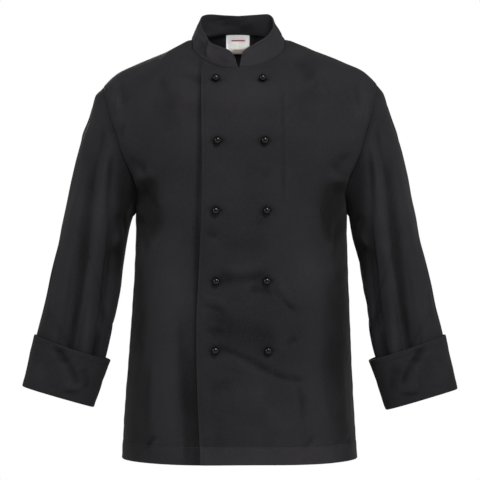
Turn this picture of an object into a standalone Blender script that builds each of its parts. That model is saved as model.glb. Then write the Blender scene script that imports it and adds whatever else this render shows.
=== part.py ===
"""Double-breasted chef jacket, filled out as on a wearer, with nobody in it.

Every size is in millimetres until a mesh is made, and Blender's scene is in metres, +Z up.
The origin is the middle of the neck opening, level with the neck points. The jacket faces -Y,
and the wearer's left is +X, so the left front closes over the right one.

Each cut piece is a grid of points on one continuous skin. Pieces share their points along a
seam, and each then draws back by half of SEAM_GAP and gets its thickness inwards.
"""

import math

import bmesh
import bpy
import numpy as np

MM = 0.001

# Cloth and construction
CLOTH = 1.6
COLLAR_CLOTH = 2.6
CUFF_CLOTH = 1.8
LABEL_CLOTH = 1.0
SEAM_GAP = 0.3
SEAT_GAP = 0.35
LEAST_LEAN = 0.42
OVERLAP_LIFT = CLOTH + 2.0
NECK_EXTRA_LIFT = 1.2

# Neck: the collar seam is an oval, low in front
NECK_HALF_WIDTH = 86.5
NECK_FRONT_DROP = 62.6
NECK_POINT_BELOW = 2.0
MID_BACKWARD = 6.0
BACK_NECK_BACKWARD = 62.0
BACK_NECK_RISE = 15.0
BACK_NECK_CURVE = 1.6
NECK_DEPTH_CURVE = 0.8

# How steeply a panel leaves the middle of the collar seam, in degrees below level
FRONT_NECK_SLOPE = 42
BACK_NECK_SLOPE = 56

# Body: the overlap runs this far past the centre, down to the hem
OVERLAP_TOP_BELOW = 67.5
HEM_BELOW = 767.0
UNDERARM_BELOW = 317.0

# The panels turn over the shoulder within SHOULDER_ROLL of height. The curve keeps its direction
# for ROLL_START of its way where it leaves the seam, and for ROLL_END where it meets the body.
SHOULDER_ROLL = 95.0
ROLL_START = 0.55
ROLL_END = 0.5

# Columns and rows of the panels' grids
OVERLAP_COLUMNS = 3
SHOULDER_COLUMNS = 6
ROLL_ROWS = 6
ARMHOLE_ROWS = 11
SETTLED_ROW = ARMHOLE_ROWS + 3
EVEN_ROW = ARMHOLE_ROWS + 2
COLUMN_SPREAD = 0.86
NECK_ANGLES = (1, 8, 18, 31, 46, 61, 76, 90)
HANGING_ROWS = (346, 374, 402, 430, 459, 488, 518, 548, 578, 608, 638, 668, 697, 724, 748, 767)

# Sleeves
CAP_RINGS = 6
SLEEVE_RINGS = 11
CAP_FULLNESS = 0.32
SLEEVE_RADIUS = 62.0
HELD_IN_CUFF = 0.85

# Cuffs: the inner leg's height, the space between it and the outer leg, and the fold's corner
CUFF_INNER_LEG = 12.0
CUFF_SPACE = 0.9
CUFF_CORNER = 0.7
CUFF_CORNER_RISE = 1.0
CUFF_LEVELS = 5

# Neck label
LABEL_WIDTH = 44.0
LABEL_HEIGHT = 44.0
LABEL_OFF_CENTRE = -4.0
LABEL_BELOW_SEAM = 3.0
LABEL_REST = 0.6

# Buttons
BUTTON_BALL = 12.6
BUTTON_NECK = 5.4
BUTTON_FOOT = 8.0
BUTTON_FOOT_HEIGHT = 0.6
BUTTON_NECK_HEIGHT = 1.2
BUTTON_STEPS = 12


class Table:
    """Rows of numbers under named columns, read smoothly between rows by the first column."""

    def __init__(self, columns, *rows):
        self.values = {name: np.array(v, float) for name, v in zip(columns, zip(*rows))}
        self.key = columns[0]

    def at(self, name, where):
        """Cubic through the rows, with no overshoot between them."""
        xs, ys = self.values[self.key], self.values[name]
        x = np.clip(np.asarray(where, float), xs[0], xs[-1])
        step = np.diff(xs)
        slope = np.diff(ys) / step
        product = slope[:-1] * slope[1:]
        total = np.where(product > 0, slope[:-1] + slope[1:], 1.0)
        inner = np.where(product > 0, 2 * product / total, 0.0)
        tangent = np.concatenate(([slope[0]], inner, [slope[-1]]))
        k = np.clip(np.searchsorted(xs, x, side="right") - 1, 0, len(xs) - 2)
        t = (x - xs[k]) / step[k]
        return (
            ys[k] * (1 + 2 * t) * (1 - t) ** 2
            + ys[k + 1] * t**2 * (3 - 2 * t)
            + step[k] * (tangent[k] * t * (1 - t) ** 2 - tangent[k + 1] * t**2 * (1 - t))
        )


# The body's form at each height. half_width is the side seam's distance from the middle; above
# the underarm it is where the form would go on to, and the armhole cuts it short.
BODY = Table(
    ("below", "half_width", "front_depth", "back_depth"),
    (60, 276, 80, 103),
    (80, 276, 94, 108),
    (100, 274, 107, 112),
    (130, 270, 120, 117),
    (170, 262, 130, 121),
    (210, 248, 135, 122),
    (245, 222, 137, 120),
    (270, 204, 138, 117),
    (293, 195, 137, 114),
    (317, 193.5, 136, 111),
    (350, 193.5, 135, 108),
    (400, 195, 134, 105),
    (500, 199.5, 135, 104),
    (600, 205, 139, 109),
    (700, 211.5, 144, 116),
    (767, 215, 148, 121),
)
BODY_SQUARENESS = 3.0

# How the jacket hangs off the middle: the body to the wearer's left by this much, the neck to
# the right, and the left shoulder higher than the right one
SWAY = Table(("below", "shift"), (0, 0), (150, 1.0), (300, 2.5), (560, 0.5), (767, -1.2))
NECK_SHIFT = 2.5
SHOULDER_TILT = 2.4
SHOULDER_RISE = 0.8

# The shoulder seam's height, from the middle out to the sleeve
SHOULDER = Table(
    ("out", "below"),
    (0, -32),
    (86.5, 2),
    (127, 20),
    (180, 42.5),
    (216, 58.5),
    (236, 69.5),
    (244, 77),
    (251, 87.5),
)

# The armhole, seen from the front
ARMHOLE = Table(
    ("below", "out"),
    (87.5, 251),
    (100, 248),
    (145, 236.5),
    (180, 225),
    (218, 214),
    (251, 199.5),
    (273, 192),
    (295, 190),
    (317, 193.5),
)

# The front edge of the overlap
OVERLAP_EDGE = Table(
    ("below", "past_centre"),
    (67.5, 69.5),
    (300, 69.5),
    (387, 72.5),
    (446, 75.5),
    (510, 78),
    (617, 75.5),
    (688, 73),
    (767, 68.5),
)

# Each row is a ring of the sleeve, given at its middle. tilt is the ring's slope outwards.
SLEEVE = Table(
    ("below", "out", "forward", "tilt", "half_width", "half_depth"),
    (336, 262, -4, 13.0, 60.5, 76),
    (376, 270, -1, 12.5, 61.0, 71),
    (425, 279.5, 5, 12.5, 62.5, 65),
    (474, 288.5, 12, 13.0, 64.0, 59),
    (516, 297, 18, 14.0, 64.6, 53),
    (558, 306.5, 24, 15.0, 64.6, 46.5),
    (600, 317.5, 30, 16.0, 63.0, 42.5),
    (641, 327, 35, 16.5, 61.5, 38.5),
)

# The turned-back cuff's outside, from its free edge down to its fold
CUFF = Table(
    ("below", "out", "forward", "tilt", "half_width", "half_depth"),
    (565.5, 304, 27, 18.5, 72.8, 53.5),
    (610, 317, 32, 17.5, 70.4, 48.0),
    (654, 330, 36, 16.5, 67.8, 43.5),
)

# Folds of the fronts, as lines seen from the front. lift is outwards; a trough is negative.
FRONT_FOLDS = Table(
    ("start_out", "start_below", "end_out", "end_below", "width", "lift"),
    (-128, 330, -136, 790, 28, 7.0),
    (-98, 440, -94, 790, 18, -8.0),
    (128, 300, 138, 790, 28, 6.5),
    (168, 400, 176, 790, 20, -6.0),
    (-172, 205, -163, 370, 17, -8.5),
    (172, 205, 163, 370, 17, -8.5),
    (-196, 285, -150, 262, 12, 4.0),
    (196, 290, 152, 268, 12, 4.0),
    (-40, 385, 60, 380, 18, -3.5),
    (-36, 530, 110, 600, 22, -4.0),
    (-20, 640, 60, 650, 26, 4.5),
    (60, 470, 120, 450, 22, 3.5),
    (225, 95, 216, 175, 12, 4.0),
    (-225, 95, -216, 175, 12, 4.0),
)

# Folds of the back, seen from the front through the jacket
BACK_FOLDS = Table(
    ("start_out", "start_below", "end_out", "end_below", "width", "lift"),
    (-92, 230, -104, 790, 30, 8.5),
    (96, 250, 108, 790, 30, 7.5),
    (-4, 330, 6, 790, 32, -8.5),
    (-160, 400, -168, 790, 20, -6.0),
    (158, 430, 170, 790, 20, -6.5),
    (-186, 262, -96, 356, 17, -6.5),
    (186, 266, 102, 366, 17, -6.5),
    (-70, 60, 74, 62, 22, 3.0),
)

BOTH, RIGHT, LEFT = 0, -1, 1

# Folds along a sleeve. around is the angle from its outer side, through the front, to its
# inner side; along runs from 0 at the armhole to 1 at the wrist.
SLEEVE_FOLDS = Table(
    ("start_along", "start_around", "end_along", "end_around", "width", "lift", "sleeve"),
    (0.12, 96, 0.42, 88, 15, 4.5, BOTH),
    (0.22, 64, 0.98, 84, 14, -4.5, BOTH),
    (0.30, 128, 0.62, 122, 13, -4.5, BOTH),
    (0.45, 104, 0.98, 112, 18, 3.5, BOTH),
    (0.34, 42, 0.80, 46, 18, 3.0, BOTH),
    (0.28, 168, 0.52, 120, 11, 3.5, BOTH),
    (0.15, 262, 0.60, 254, 18, -4.0, BOTH),
    (0.30, 300, 0.95, 284, 22, 3.5, BOTH),
    (0.34, 198, 0.58, 244, 12, -4.5, BOTH),
    (0.55, 222, 0.97, 236, 20, 3.5, BOTH),
    (0.16, 182, 0.55, 176, 36, -4.5, LEFT),
    (0.20, 182, 0.85, 178, 34, 2.5, RIGHT),
)

BUTTONS = Table(
    ("row", "below", "left", "right"),
    (1, 80.5, -43.0, 40.5),
    (2, 192.5, -39.5, 44.0),
    (3, 317.0, -42.5, 47.0),
    (4, 442.5, -42.0, 47.5),
    (5, 566.0, -43.5, 50.0),
)

# The collar's top edge, from its front end round to the middle of the back. around is the
# neck seam's angle, with 90 at the neck point. The two halves differ as they lie.
COLLAR_TOP = Table(
    ("around", "forward", "right_out", "right_below", "left_out", "left_below"),
    (0, 72, 7.5, 44.5, 2.0, 42),
    (8, 70, 14.4, 33, 6.0, 31),
    (18, 64, 25.5, 25, 19.5, 21),
    (31, 56, 41, 18.5, 35, 11.5),
    (46, 43, 54.5, 11, 50, 1),
    (61, 28, 62, -2, 57.5, -9),
    (76, 12, 68, -13, 63, -18),
    (90, -3, 71, -24, 63.5, -26),
    (104, -14, 71.5, -35, 64, -36),
    (119, -27, 68, -42.5, 60.5, -42.5),
    (134, -36, 58, -46, 52.5, -46.5),
    (149, -41, 43, -46.5, 41, -47),
    (162, -43, 25, -45.5, 25, -46),
    (180, -44, 0, -44.5, 0, -44.5),
)
COLLAR_LEVELS = (0.0, 0.2, 0.45, 0.75, 1.0)
COLLAR_BOW = 3.0

WEARER = ("right", "left")
OUTWARD_X = {"right": -1, "left": 1}

BLACK_TWILL = ("black_twill", (0.021, 0.020, 0.023), 0.85)
BLACK_BUTTON = ("black_button", (0.006, 0.006, 0.007), 0.25)
WHITE_LABEL = ("white_label", (0.70, 0.70, 0.71), 0.75)


def unit(vectors):
    """The same directions, one long."""
    return vectors / np.maximum(np.linalg.norm(vectors, axis=-1, keepdims=True), 1e-9)


def ease(value):
    """0 to 1, level at both ends."""
    t = np.clip(value, 0.0, 1.0)
    return t * t * (3 - 2 * t)


def fade(value, full, none):
    """1 up to full, then smoothly down to 0 at none. full may be the larger of the two."""
    return ease((none - value) / (none - full))


def body_depth(column, out, below):
    """How far the body's front or back stands from the side seams' plane."""
    half_width = BODY.at("half_width", below)
    share = np.clip(np.abs(out) / half_width, 0.0, 1.0)
    return BODY.at(column, below) * np.sqrt(1 - share**BODY_SQUARENESS)


def fold_lift(folds, out, below):
    """Sum of the folds' lifts at points seen from the front. Each fades over its ends."""
    lift = np.zeros_like(out)
    table = folds.values
    for k in range(len(table["lift"])):
        start = np.array([table["start_out"][k], table["start_below"][k]])
        line = np.array([table["end_out"][k], table["end_below"][k]]) - start
        length = np.linalg.norm(line)
        offset = np.stack([out, below], axis=-1) - start
        along = offset @ line / length**2
        across = (offset[..., 0] * line[1] - offset[..., 1] * line[0]) / length
        ends = fade(along, 0.3, 0) * fade(along, 0.75, 1.05)
        lift += table["lift"][k] * ends * np.exp(-((across / table["width"][k]) ** 2))
    return lift


def grid_normals(grid, side):
    """Unit normals of a grid of points, on the side that the sign names."""
    return side * unit(np.cross(np.gradient(grid, axis=0), np.gradient(grid, axis=1)))


def length_along(line):
    """Each point's distance along a line of points."""
    return np.concatenate(([0.0], np.cumsum(np.linalg.norm(np.diff(line, axis=0), axis=1))))


def bezier(points, t):
    """Point on a cubic curve."""
    a, b, c, d = points
    return a * (1 - t) ** 3 + 3 * b * t * (1 - t) ** 2 + 3 * c * t**2 * (1 - t) + d * t**3


# ---- Body panels ------------------------------------------------------------------------


def neck_seam(angle_deg, front):
    """Point of the collar seam, as (out, y, below): 0 degrees is the middle, 90 a neck point."""
    angle = math.radians(angle_deg)
    out = NECK_HALF_WIDTH * math.sin(angle)
    if front:
        depth = -body_depth("front_depth", 0, NECK_FRONT_DROP)
        drop = (NECK_FRONT_DROP - NECK_POINT_BELOW) * math.cos(angle)
    else:
        depth = BACK_NECK_BACKWARD - MID_BACKWARD
        drop = -(NECK_POINT_BELOW + BACK_NECK_RISE) * math.cos(angle) ** BACK_NECK_CURVE
    return out, MID_BACKWARD + depth * math.cos(angle) ** NECK_DEPTH_CURVE, NECK_POINT_BELOW + drop


def top_edge(front):
    """The collar and shoulder seams from the middle outwards: points (out, y, below), and how
    steeply the panel leaves each, in degrees below level."""
    points = [neck_seam(angle, front) for angle in NECK_ANGLES]
    steepest = FRONT_NECK_SLOPE if front else BACK_NECK_SLOPE
    slopes = [steepest * math.cos(math.radians(angle)) for angle in NECK_ANGLES]
    tip = SHOULDER.values["out"][-1]
    for k in range(1, SHOULDER_COLUMNS + 1):
        out = NECK_HALF_WIDTH + (tip - NECK_HALF_WIDTH) * k / SHOULDER_COLUMNS
        points.append((out, MID_BACKWARD, float(SHOULDER.at("below", out))))
        slopes.append(0)
    return np.array(points), np.radians(slopes)


def column_outs(top_out, edge_out):
    """How far out each column of a half panel is, row by row. Beside the neck the columns fan
    out from the neck point, and further down they are evenly spaced round the body."""
    rows = np.clip(np.arange(len(edge_out)) / EVEN_ROW, 0, 1)
    neck_fan = np.sin(np.radians(NECK_ANGLES)) ** 2
    fan = np.concatenate([neck_fan, 1 - np.arange(1, SHOULDER_COLUMNS + 1) / SHOULDER_COLUMNS])
    fan = fan[:, None]
    blend = ease(rows) * (1 - fan) + np.sqrt(rows) * fan
    top_share = top_out[:, None] / top_out[-1]
    hang_share = np.sin(np.linspace(0, math.pi / 2, len(top_out)))[:, None] ** COLUMN_SPREAD
    return edge_out * (top_share * (1 - blend) + hang_share * blend)


def half_panel(front):
    """Half of a front or back, from the middle (column 0) to the side seam, from the top (row 0)
    to the hem. Rows first turn over the shoulder, then pass the armhole, then hang."""
    top, slopes = top_edge(front)
    sign = -1 if front else 1
    tip = top[-1, 2]
    turning = tip + SHOULDER_ROLL * (1 - np.cos(np.linspace(0, math.pi / 2, ROLL_ROWS + 1)))
    passing = np.linspace(turning[-1], UNDERARM_BELOW, ARMHOLE_ROWS - ROLL_ROWS + 1)[1:]
    levels = np.concatenate((turning, passing, HANGING_ROWS))
    settle = fade(np.arange(len(levels)), ROLL_ROWS, SETTLED_ROW)
    below = levels + (top[:, 2] - tip)[:, None] * settle
    at_armhole = levels <= UNDERARM_BELOW
    edge = np.where(at_armhole, ARMHOLE.at("out", levels), BODY.at("half_width", levels))
    out = column_outs(top[:, 0], edge)
    y = MID_BACKWARD + sign * body_depth("front_depth" if front else "back_depth", out, below)
    for i, (point, slope) in enumerate(zip(top, slopes)):
        start, end = point[1:], np.array([y[i, ROLL_ROWS], below[i, ROLL_ROWS]])
        reach = np.abs(end - start) @ (math.cos(slope), math.sin(slope))
        leaving = start + ROLL_START * reach * np.array([sign * math.cos(slope), math.sin(slope)])
        arriving = end - np.array([0.0, ROLL_END * abs(end[1] - start[1])])
        ridge = SHOULDER.at("below", out[i])
        for j in range(ROLL_ROWS):
            share = j / ROLL_ROWS
            y[i, j], below[i, j] = bezier((start, leaving, arriving, end), share)
            below[i, j] += (ridge[j] - ridge[0]) * (1 - ease(share))
    out[-1, :ROLL_ROWS] = ARMHOLE.at("out", below[-1, :ROLL_ROWS])
    return np.stack([out, y, -below], axis=-1)


def depth_at(half, out, below):
    """y of a half panel's surface at points seen from the front."""
    found = np.empty_like(out)
    rows = range(half.shape[1])
    for index in np.ndindex(out.shape):
        line_y = [np.interp(out[index], half[:, j, 0], half[:, j, 1]) for j in rows]
        line_below = [np.interp(out[index], half[:, j, 0], -half[:, j, 2]) for j in rows]
        found[index] = np.interp(below[index], line_below, line_y)
    return found


def hung(grid):
    """The same points, a little off the middle, as the jacket hangs. The neck's own shift and
    the shoulders' tilt fade out around each."""
    out, below = grid[..., 0], -grid[..., 2]
    at_neck = fade(np.abs(out), 90, 125) * fade(below, 30, 110)
    at_shoulder = fade(np.abs(out), 156.5, NECK_HALF_WIDTH) * fade(below, 90, 170)
    moved = grid.copy()
    moved[..., 0] += SWAY.at("shift", below) - NECK_SHIFT * at_neck
    moved[..., 2] += (SHOULDER_TILT * np.sign(out) + SHOULDER_RISE) * at_shoulder
    return moved


def front_panel(half, side):
    """One front: its overlap columns past the centre, then the half panel. The left front lies
    over the right one, so it stands out by OVERLAP_LIFT as far as the right one reaches."""
    sign = OUTWARD_X[side]
    share = np.arange(OVERLAP_COLUMNS, 0, -1)[:, None] / OVERLAP_COLUMNS
    centre_below = -half[0, :, 2][None, :]
    lowered = (OVERLAP_TOP_BELOW - NECK_FRONT_DROP) * share
    below = centre_below + lowered * fade(np.arange(half.shape[1]), 0, ARMHOLE_ROWS)[None, :]
    past = OVERLAP_EDGE.at("past_centre", below) * share
    overlap = np.stack([-past, depth_at(half, past, below), -below], axis=-1)
    grid = np.concatenate([overlap, half]) * np.array([sign, 1, 1])
    out, below = grid[..., 0], -grid[..., 2]
    lift = fold_lift(FRONT_FOLDS, out, below) * fade(below, 100, 40)
    if side == "left":
        clear = OVERLAP_LIFT + NECK_EXTRA_LIFT * fade(below, 90, 150)
        lift += clear * fade(out, 78, 112) * fade(below, 55, 30)
    return hung(grid + grid_normals(grid, -sign) * lift[..., None])


def back_panel(half):
    """The whole back, from the right side seam to the left one."""
    mirrored = half[:0:-1] * np.array([-1, 1, 1])
    grid = np.concatenate([mirrored, half])
    below = -grid[..., 2]
    lift = fold_lift(BACK_FOLDS, grid[..., 0], below) * fade(below, 85, 25)
    return hung(grid + grid_normals(grid, 1) * lift[..., None])


# ---- Sleeves and cuffs ------------------------------------------------------------------


def ring(table, below, angles, side):
    """Points round a sleeve or cuff at one height of its table; angle 0 is the outer side and
    90 degrees the front."""
    tilt = math.radians(float(table.at("tilt", below)))
    centre = np.array([table.at("out", below), -table.at("forward", below), -below], float)
    outward = np.array([math.cos(tilt), 0.0, math.sin(tilt)])
    forward = np.array([0.0, -1.0, 0.0])
    across = table.at("half_width", below) * np.cos(angles)[:, None] * outward
    deep = table.at("half_depth", below) * np.sin(angles)[:, None] * forward
    return (centre + across + deep) * np.array([OUTWARD_X[side], 1, 1])


def sleeve_grid(armhole, side):
    """A sleeve's skin: rings from the armhole seam to the wrist, around first."""
    count = len(armhole)
    angles = 2 * math.pi * np.arange(count) / count
    heights = np.linspace(SLEEVE.values["below"][0], SLEEVE.values["below"][-1], SLEEVE_RINGS)
    first = ring(SLEEVE, heights[0], angles, side)
    axis = unit(ring(SLEEVE, heights[0] + 20, angles, side).mean(0) - first.mean(0))
    chord = first - armhole
    length = np.linalg.norm(chord, axis=1, keepdims=True)
    leave = unit(chord / length + CAP_FULLNESS * np.array([OUTWARD_X[side], 0, 0]))
    rings = []
    for step in np.arange(CAP_RINGS) / CAP_RINGS:
        points = (armhole, armhole + leave * length / 3, first - axis * length / 3, first)
        rings.append(bezier(points, step))
    rings += [ring(SLEEVE, height, angles, side) for height in heights]
    grid = np.stack(rings, axis=1)
    run = length_along(grid.mean(0))
    lift = sleeve_lift(run / run[-1], angles, side)
    return grid + tube_normals(grid, side) * lift[..., None]


def tube_normals(grid, side):
    """Outward normals of a grid that closes on itself along its first axis."""
    padded = np.concatenate([grid[-1:], grid, grid[:1]])
    return grid_normals(padded, OUTWARD_X[side])[1:-1]


def sleeve_lift(along, angles, side):
    """The sleeve folds' lift at every point, faded out at both seams."""
    table = SLEEVE_FOLDS.values
    degrees = np.degrees(angles)[:, None]
    lift = np.zeros((len(angles), len(along)))
    for k in np.flatnonzero(table["sleeve"] * OUTWARD_X[side] >= 0):
        start, end = table["start_along"][k], table["end_along"][k]
        share = (along[None, :] - start) / (end - start)
        line = table["start_around"][k] + share * (table["end_around"][k] - table["start_around"][k])
        turn = (degrees - line + 180) % 360 - 180
        across = np.radians(turn) * SLEEVE_RADIUS
        ends = fade(share, 0.3, 0) * fade(share, 0.75, 1.05)
        lift += table["lift"][k] * ends * np.exp(-((across / table["width"][k]) ** 2))
    return lift * fade(along, 0.12, 0) * (1 - HELD_IN_CUFF * fade(along, 0.82, 0.68))


def cuff_fold_section():
    """The fold and the short inner leg of the turned-back cuff's section, as points (inwards
    from the cuff's outside, up from its fold). The inner leg meets the sleeve's end."""
    corner = CUFF_CORNER * CUFF_CLOTH
    leg = CLOTH + CUFF_CLOTH + CUFF_SPACE
    return (
        (0.0, CUFF_CORNER_RISE),
        (corner, 0.0),
        (leg + CLOTH - corner, 0.0),
        (leg + CLOTH, CUFF_CORNER_RISE),
        (leg + CLOTH, CUFF_INNER_LEG),
        (leg, CUFF_INNER_LEG),
        (leg, CUFF_CLOTH),
        (CUFF_CLOTH, CUFF_CLOTH),
    )


# ---- Making solids ----------------------------------------------------------------------


class Skin:
    """All the grids of the jacket together, so that pieces share one normal along a seam. Each
    of body, sleeve and collar counts alike there, however many faces it has at the seam."""

    def __init__(self):
        self.sheets = {}

    @staticmethod
    def key(point):
        return tuple(np.round(point, 4))

    def add(self, sheet, grid, outward, wraps=False):
        """Takes a grid's faces in; outward is the sign that turns its normals out."""
        if wraps:
            grid = np.concatenate([grid, grid[:1]])
        across = np.cross(grid[1:, 1:] - grid[:-1, :-1], grid[:-1, 1:] - grid[1:, :-1])
        for i, j in np.ndindex(across.shape[:2]):
            normal = unit(outward * across[i, j])
            for di, dj in ((0, 0), (1, 0), (0, 1), (1, 1)):
                at_point = self.sheets.setdefault(self.key(grid[i + di, j + dj]), {})
                at_point[sheet] = at_point.get(sheet, 0) + normal

    def inwards(self, grid):
        """For each point, the step inwards that one millimetre of thickness takes."""
        steps = np.empty_like(grid)
        for index in np.ndindex(grid.shape[:-1]):
            sheets = unit(np.array(list(self.sheets[self.key(grid[index])].values())))
            normal = unit(sheets.sum(0))
            steps[index] = -normal / max((sheets @ normal).mean(), LEAST_LEAN)
        return steps


def seam_step(line, inside, steps, wraps=False):
    """Half the seam gap, from each point of a seam into the piece it bounds."""
    if wraps:
        tangent = unit(np.roll(line, -1, 0) - np.roll(line, 1, 0))
    else:
        tangent = unit(np.gradient(line, axis=0))
    normal = unit(steps)
    away = inside - line
    away = away - (away * tangent).sum(-1, keepdims=True) * tangent
    away = away - (away * normal).sum(-1, keepdims=True) * normal
    return unit(away) * SEAM_GAP / 2


def material(name, colour, roughness):
    """A plain Principled material, made once."""
    found = bpy.data.materials.get(name)
    if found:
        return found
    made = bpy.data.materials.new(name)
    made.use_nodes = True
    shader = made.node_tree.nodes["Principled BSDF"]
    shader.inputs["Base Color"].default_value = (*colour, 1.0)
    shader.inputs["Roughness"].default_value = roughness
    return made


def solid(name, points, faces, finish, parent):
    """A named object from points in millimetres and faces, its faces turned outwards."""
    mesh = bpy.data.meshes.new(name)
    mesh.from_pydata([tuple(np.array(p) * MM) for p in points], [], faces)
    shaped = bmesh.new()
    shaped.from_mesh(mesh)
    bmesh.ops.recalc_face_normals(shaped, faces=shaped.faces)
    shaped.to_mesh(mesh)
    shaped.free()
    mesh.shade_smooth()
    mesh.set_sharp_from_angle(angle=math.radians(40))
    mesh.materials.append(material(*finish))
    made = bpy.data.objects.new(name, mesh)
    jacket_collection().objects.link(made)
    made.parent = parent
    return made


def jacket_collection():
    """The collection that holds every piece."""
    found = bpy.data.collections.get("chef_jacket")
    if not found:
        found = bpy.data.collections.new("chef_jacket")
        bpy.context.scene.collection.children.link(found)
    return found


def split_short(points, quad):
    """The same quad, started where it is cut along its shorter diagonal."""
    a, b, c, d = quad
    if np.linalg.norm(points[a] - points[c]) <= np.linalg.norm(points[b] - points[d]):
        return quad
    return b, c, d, a


def wall(name, outer, inner, finish, parent, wraps=False):
    """A closed wall between two grids of points. A wall that wraps is a tube."""
    columns, rows = outer.shape[:2]
    size = columns * rows
    points = np.concatenate([outer.reshape(-1, 3), inner.reshape(-1, 3)])

    def corner(i, j, layer):
        return layer * size + (i % columns) * rows + j

    faces = []
    spans = columns if wraps else columns - 1
    for i in range(spans):
        for j in range(rows - 1):
            start, across, opposite, down = (i, j), (i + 1, j), (i + 1, j + 1), (i, j + 1)
            faces.append([corner(*c, 0) for c in (start, across, opposite, down)])
            faces.append([corner(*c, 1) for c in (start, down, opposite, across)])
        for j in (0, rows - 1):
            rim = corner(i, j, 0), corner(i + 1, j, 0), corner(i + 1, j, 1), corner(i, j, 1)
            faces.append(split_short(points, rim))
    if not wraps:
        for i in (0, columns - 1):
            for j in range(rows - 1):
                rim = corner(i, j, 0), corner(i, j + 1, 0), corner(i, j + 1, 1), corner(i, j, 1)
                faces.append(split_short(points, rim))
    return solid(name, points, faces, finish, parent)


# ---- The jacket's pieces ----------------------------------------------------------------


def drawn_back(grid, steps, seams):
    """The grid, moved off its seams by half the gap. A seam is the places of its own points and
    of those beside it, inside the piece."""
    moved = grid.copy()
    for line, beside in seams:
        moved[line] += seam_step(grid[line], grid[beside], steps[line])
    return moved


def side_seams(edge, beside):
    """A body panel's armhole seam and side seam, on one of its side edges."""
    armhole, side = slice(0, ARMHOLE_ROWS + 1), slice(ARMHOLE_ROWS, None)
    return [((edge, armhole), (beside, armhole)), ((edge, side), (beside, side))]


def top_seams(*stretches):
    """A body panel's shoulder and neck seams, as stretches of its top edge."""
    return [((columns, 0), (columns, 1)) for columns in stretches]


def make_fronts(fronts, skin, parent):
    """Left and right front: each drawn back from the collar, shoulder, armhole and side seams.
    Returns the left front's outside, which the buttons sit on."""
    outsides = {}
    neck_point = OVERLAP_COLUMNS + len(NECK_ANGLES) - 1
    neck, shoulder = slice(OVERLAP_COLUMNS, neck_point + 1), slice(neck_point, None)
    seams = top_seams(neck, shoulder) + side_seams(-1, -2)
    for side in WEARER:
        grid = fronts[side]
        steps = skin.inwards(grid)
        outer = drawn_back(grid, steps, seams)
        wall(f"{side}_front", outer, outer + steps * CLOTH, BLACK_TWILL, parent)
        outsides[side] = outer
    return outsides["left"]


def make_back(grid, skin, parent):
    """The back, drawn back from the seams all round. Returns its inside and outside."""
    right_point = SHOULDER_COLUMNS
    left_point = grid.shape[0] - 1 - SHOULDER_COLUMNS
    right_shoulder, left_shoulder = slice(0, right_point + 1), slice(left_point, None)
    neck = slice(right_point, left_point + 1)
    seams = top_seams(right_shoulder, neck, left_shoulder) + side_seams(0, 1) + side_seams(-1, -2)
    steps = skin.inwards(grid)
    outer = drawn_back(grid, steps, seams)
    inner = outer + steps * CLOTH
    wall("back", outer, inner, BLACK_TWILL, parent)
    return inner, -steps


def make_sleeve(grid, skin, side, parent):
    """A sleeve, drawn back from the armhole seam and from the cuff's inner leg."""
    steps = skin.inwards(grid)
    outer = grid.copy()
    outer[:, 0] += seam_step(grid[:, 0], grid[:, 1], steps[:, 0], wraps=True)
    wall(f"{side}_sleeve", outer, outer + steps * CLOTH, BLACK_TWILL, parent, wraps=True)


def make_cuff(around, side, parent):
    """A cuff: its section, carried round the wrist. The outside follows CUFF, with two dents."""
    angles = 2 * math.pi * np.arange(around) / around
    heights = np.linspace(CUFF.values["below"][-1], CUFF.values["below"][0], CUFF_LEVELS)
    outside = np.stack([ring(CUFF, below, angles, side) for below in heights], axis=1)
    outward = -tube_normals(outside, side)
    run = length_along(outside.mean(0))
    dents = cuff_dents(run / run[-1], angles)
    inside_up = [(CUFF_CLOTH, up) for up in run[1:]]
    outside_down = [(0.0, up) for up in run[:0:-1]]
    rings = []
    for inward, up in (*cuff_fold_section(), *inside_up, *outside_down):
        place = np.clip(np.searchsorted(run, up) - 1, 0, len(run) - 2)
        share = (up - run[place]) / (run[place + 1] - run[place])
        base = outside[:, place] * (1 - share) + outside[:, place + 1] * share
        normal = unit(outward[:, place] * (1 - share) + outward[:, place + 1] * share)
        dent = dents[:, place] * (1 - share) + dents[:, place + 1] * share
        of_outer_leg = inward <= CUFF_CLOTH
        rings.append(base + normal * (dent * of_outer_leg - inward)[:, None])
    rings = np.stack(rings, axis=1)
    columns, rows = rings.shape[:2]
    faces = [
        [
            i * rows + j,
            (i + 1) % columns * rows + j,
            (i + 1) % columns * rows + (j + 1) % rows,
            i * rows + (j + 1) % rows,
        ]
        for i in range(columns)
        for j in range(rows)
    ]
    solid(f"{side}_cuff", rings.reshape(-1, 3), faces, BLACK_TWILL, parent)


CUFF_DENTS = Table(
    ("around", "up", "width_around", "width_up", "lift"),
    (84, 0.70, 16, 0.22, -2.2),
    (112, 0.32, 20, 0.25, 1.6),
    (48, 0.45, 20, 0.35, 1.4),
    (255, 0.60, 26, 0.30, -1.8),
    (305, 0.40, 22, 0.30, 1.5),
)


def cuff_dents(up, angles):
    """Soft dents and bulges of the cuff's outside, still at its fold."""
    table = CUFF_DENTS.values
    degrees = np.degrees(angles)[:, None]
    lift = np.zeros((len(angles), len(up)))
    for k in range(len(table["lift"])):
        turn = (degrees - table["around"][k] + 180) % 360 - 180
        across = turn / table["width_around"][k]
        rise = (up[None, :] - table["up"][k]) / table["width_up"][k]
        lift += table["lift"][k] * np.exp(-(across**2) - rise**2)
    return lift * fade(up, 0.3, 0)[None, :]


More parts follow.
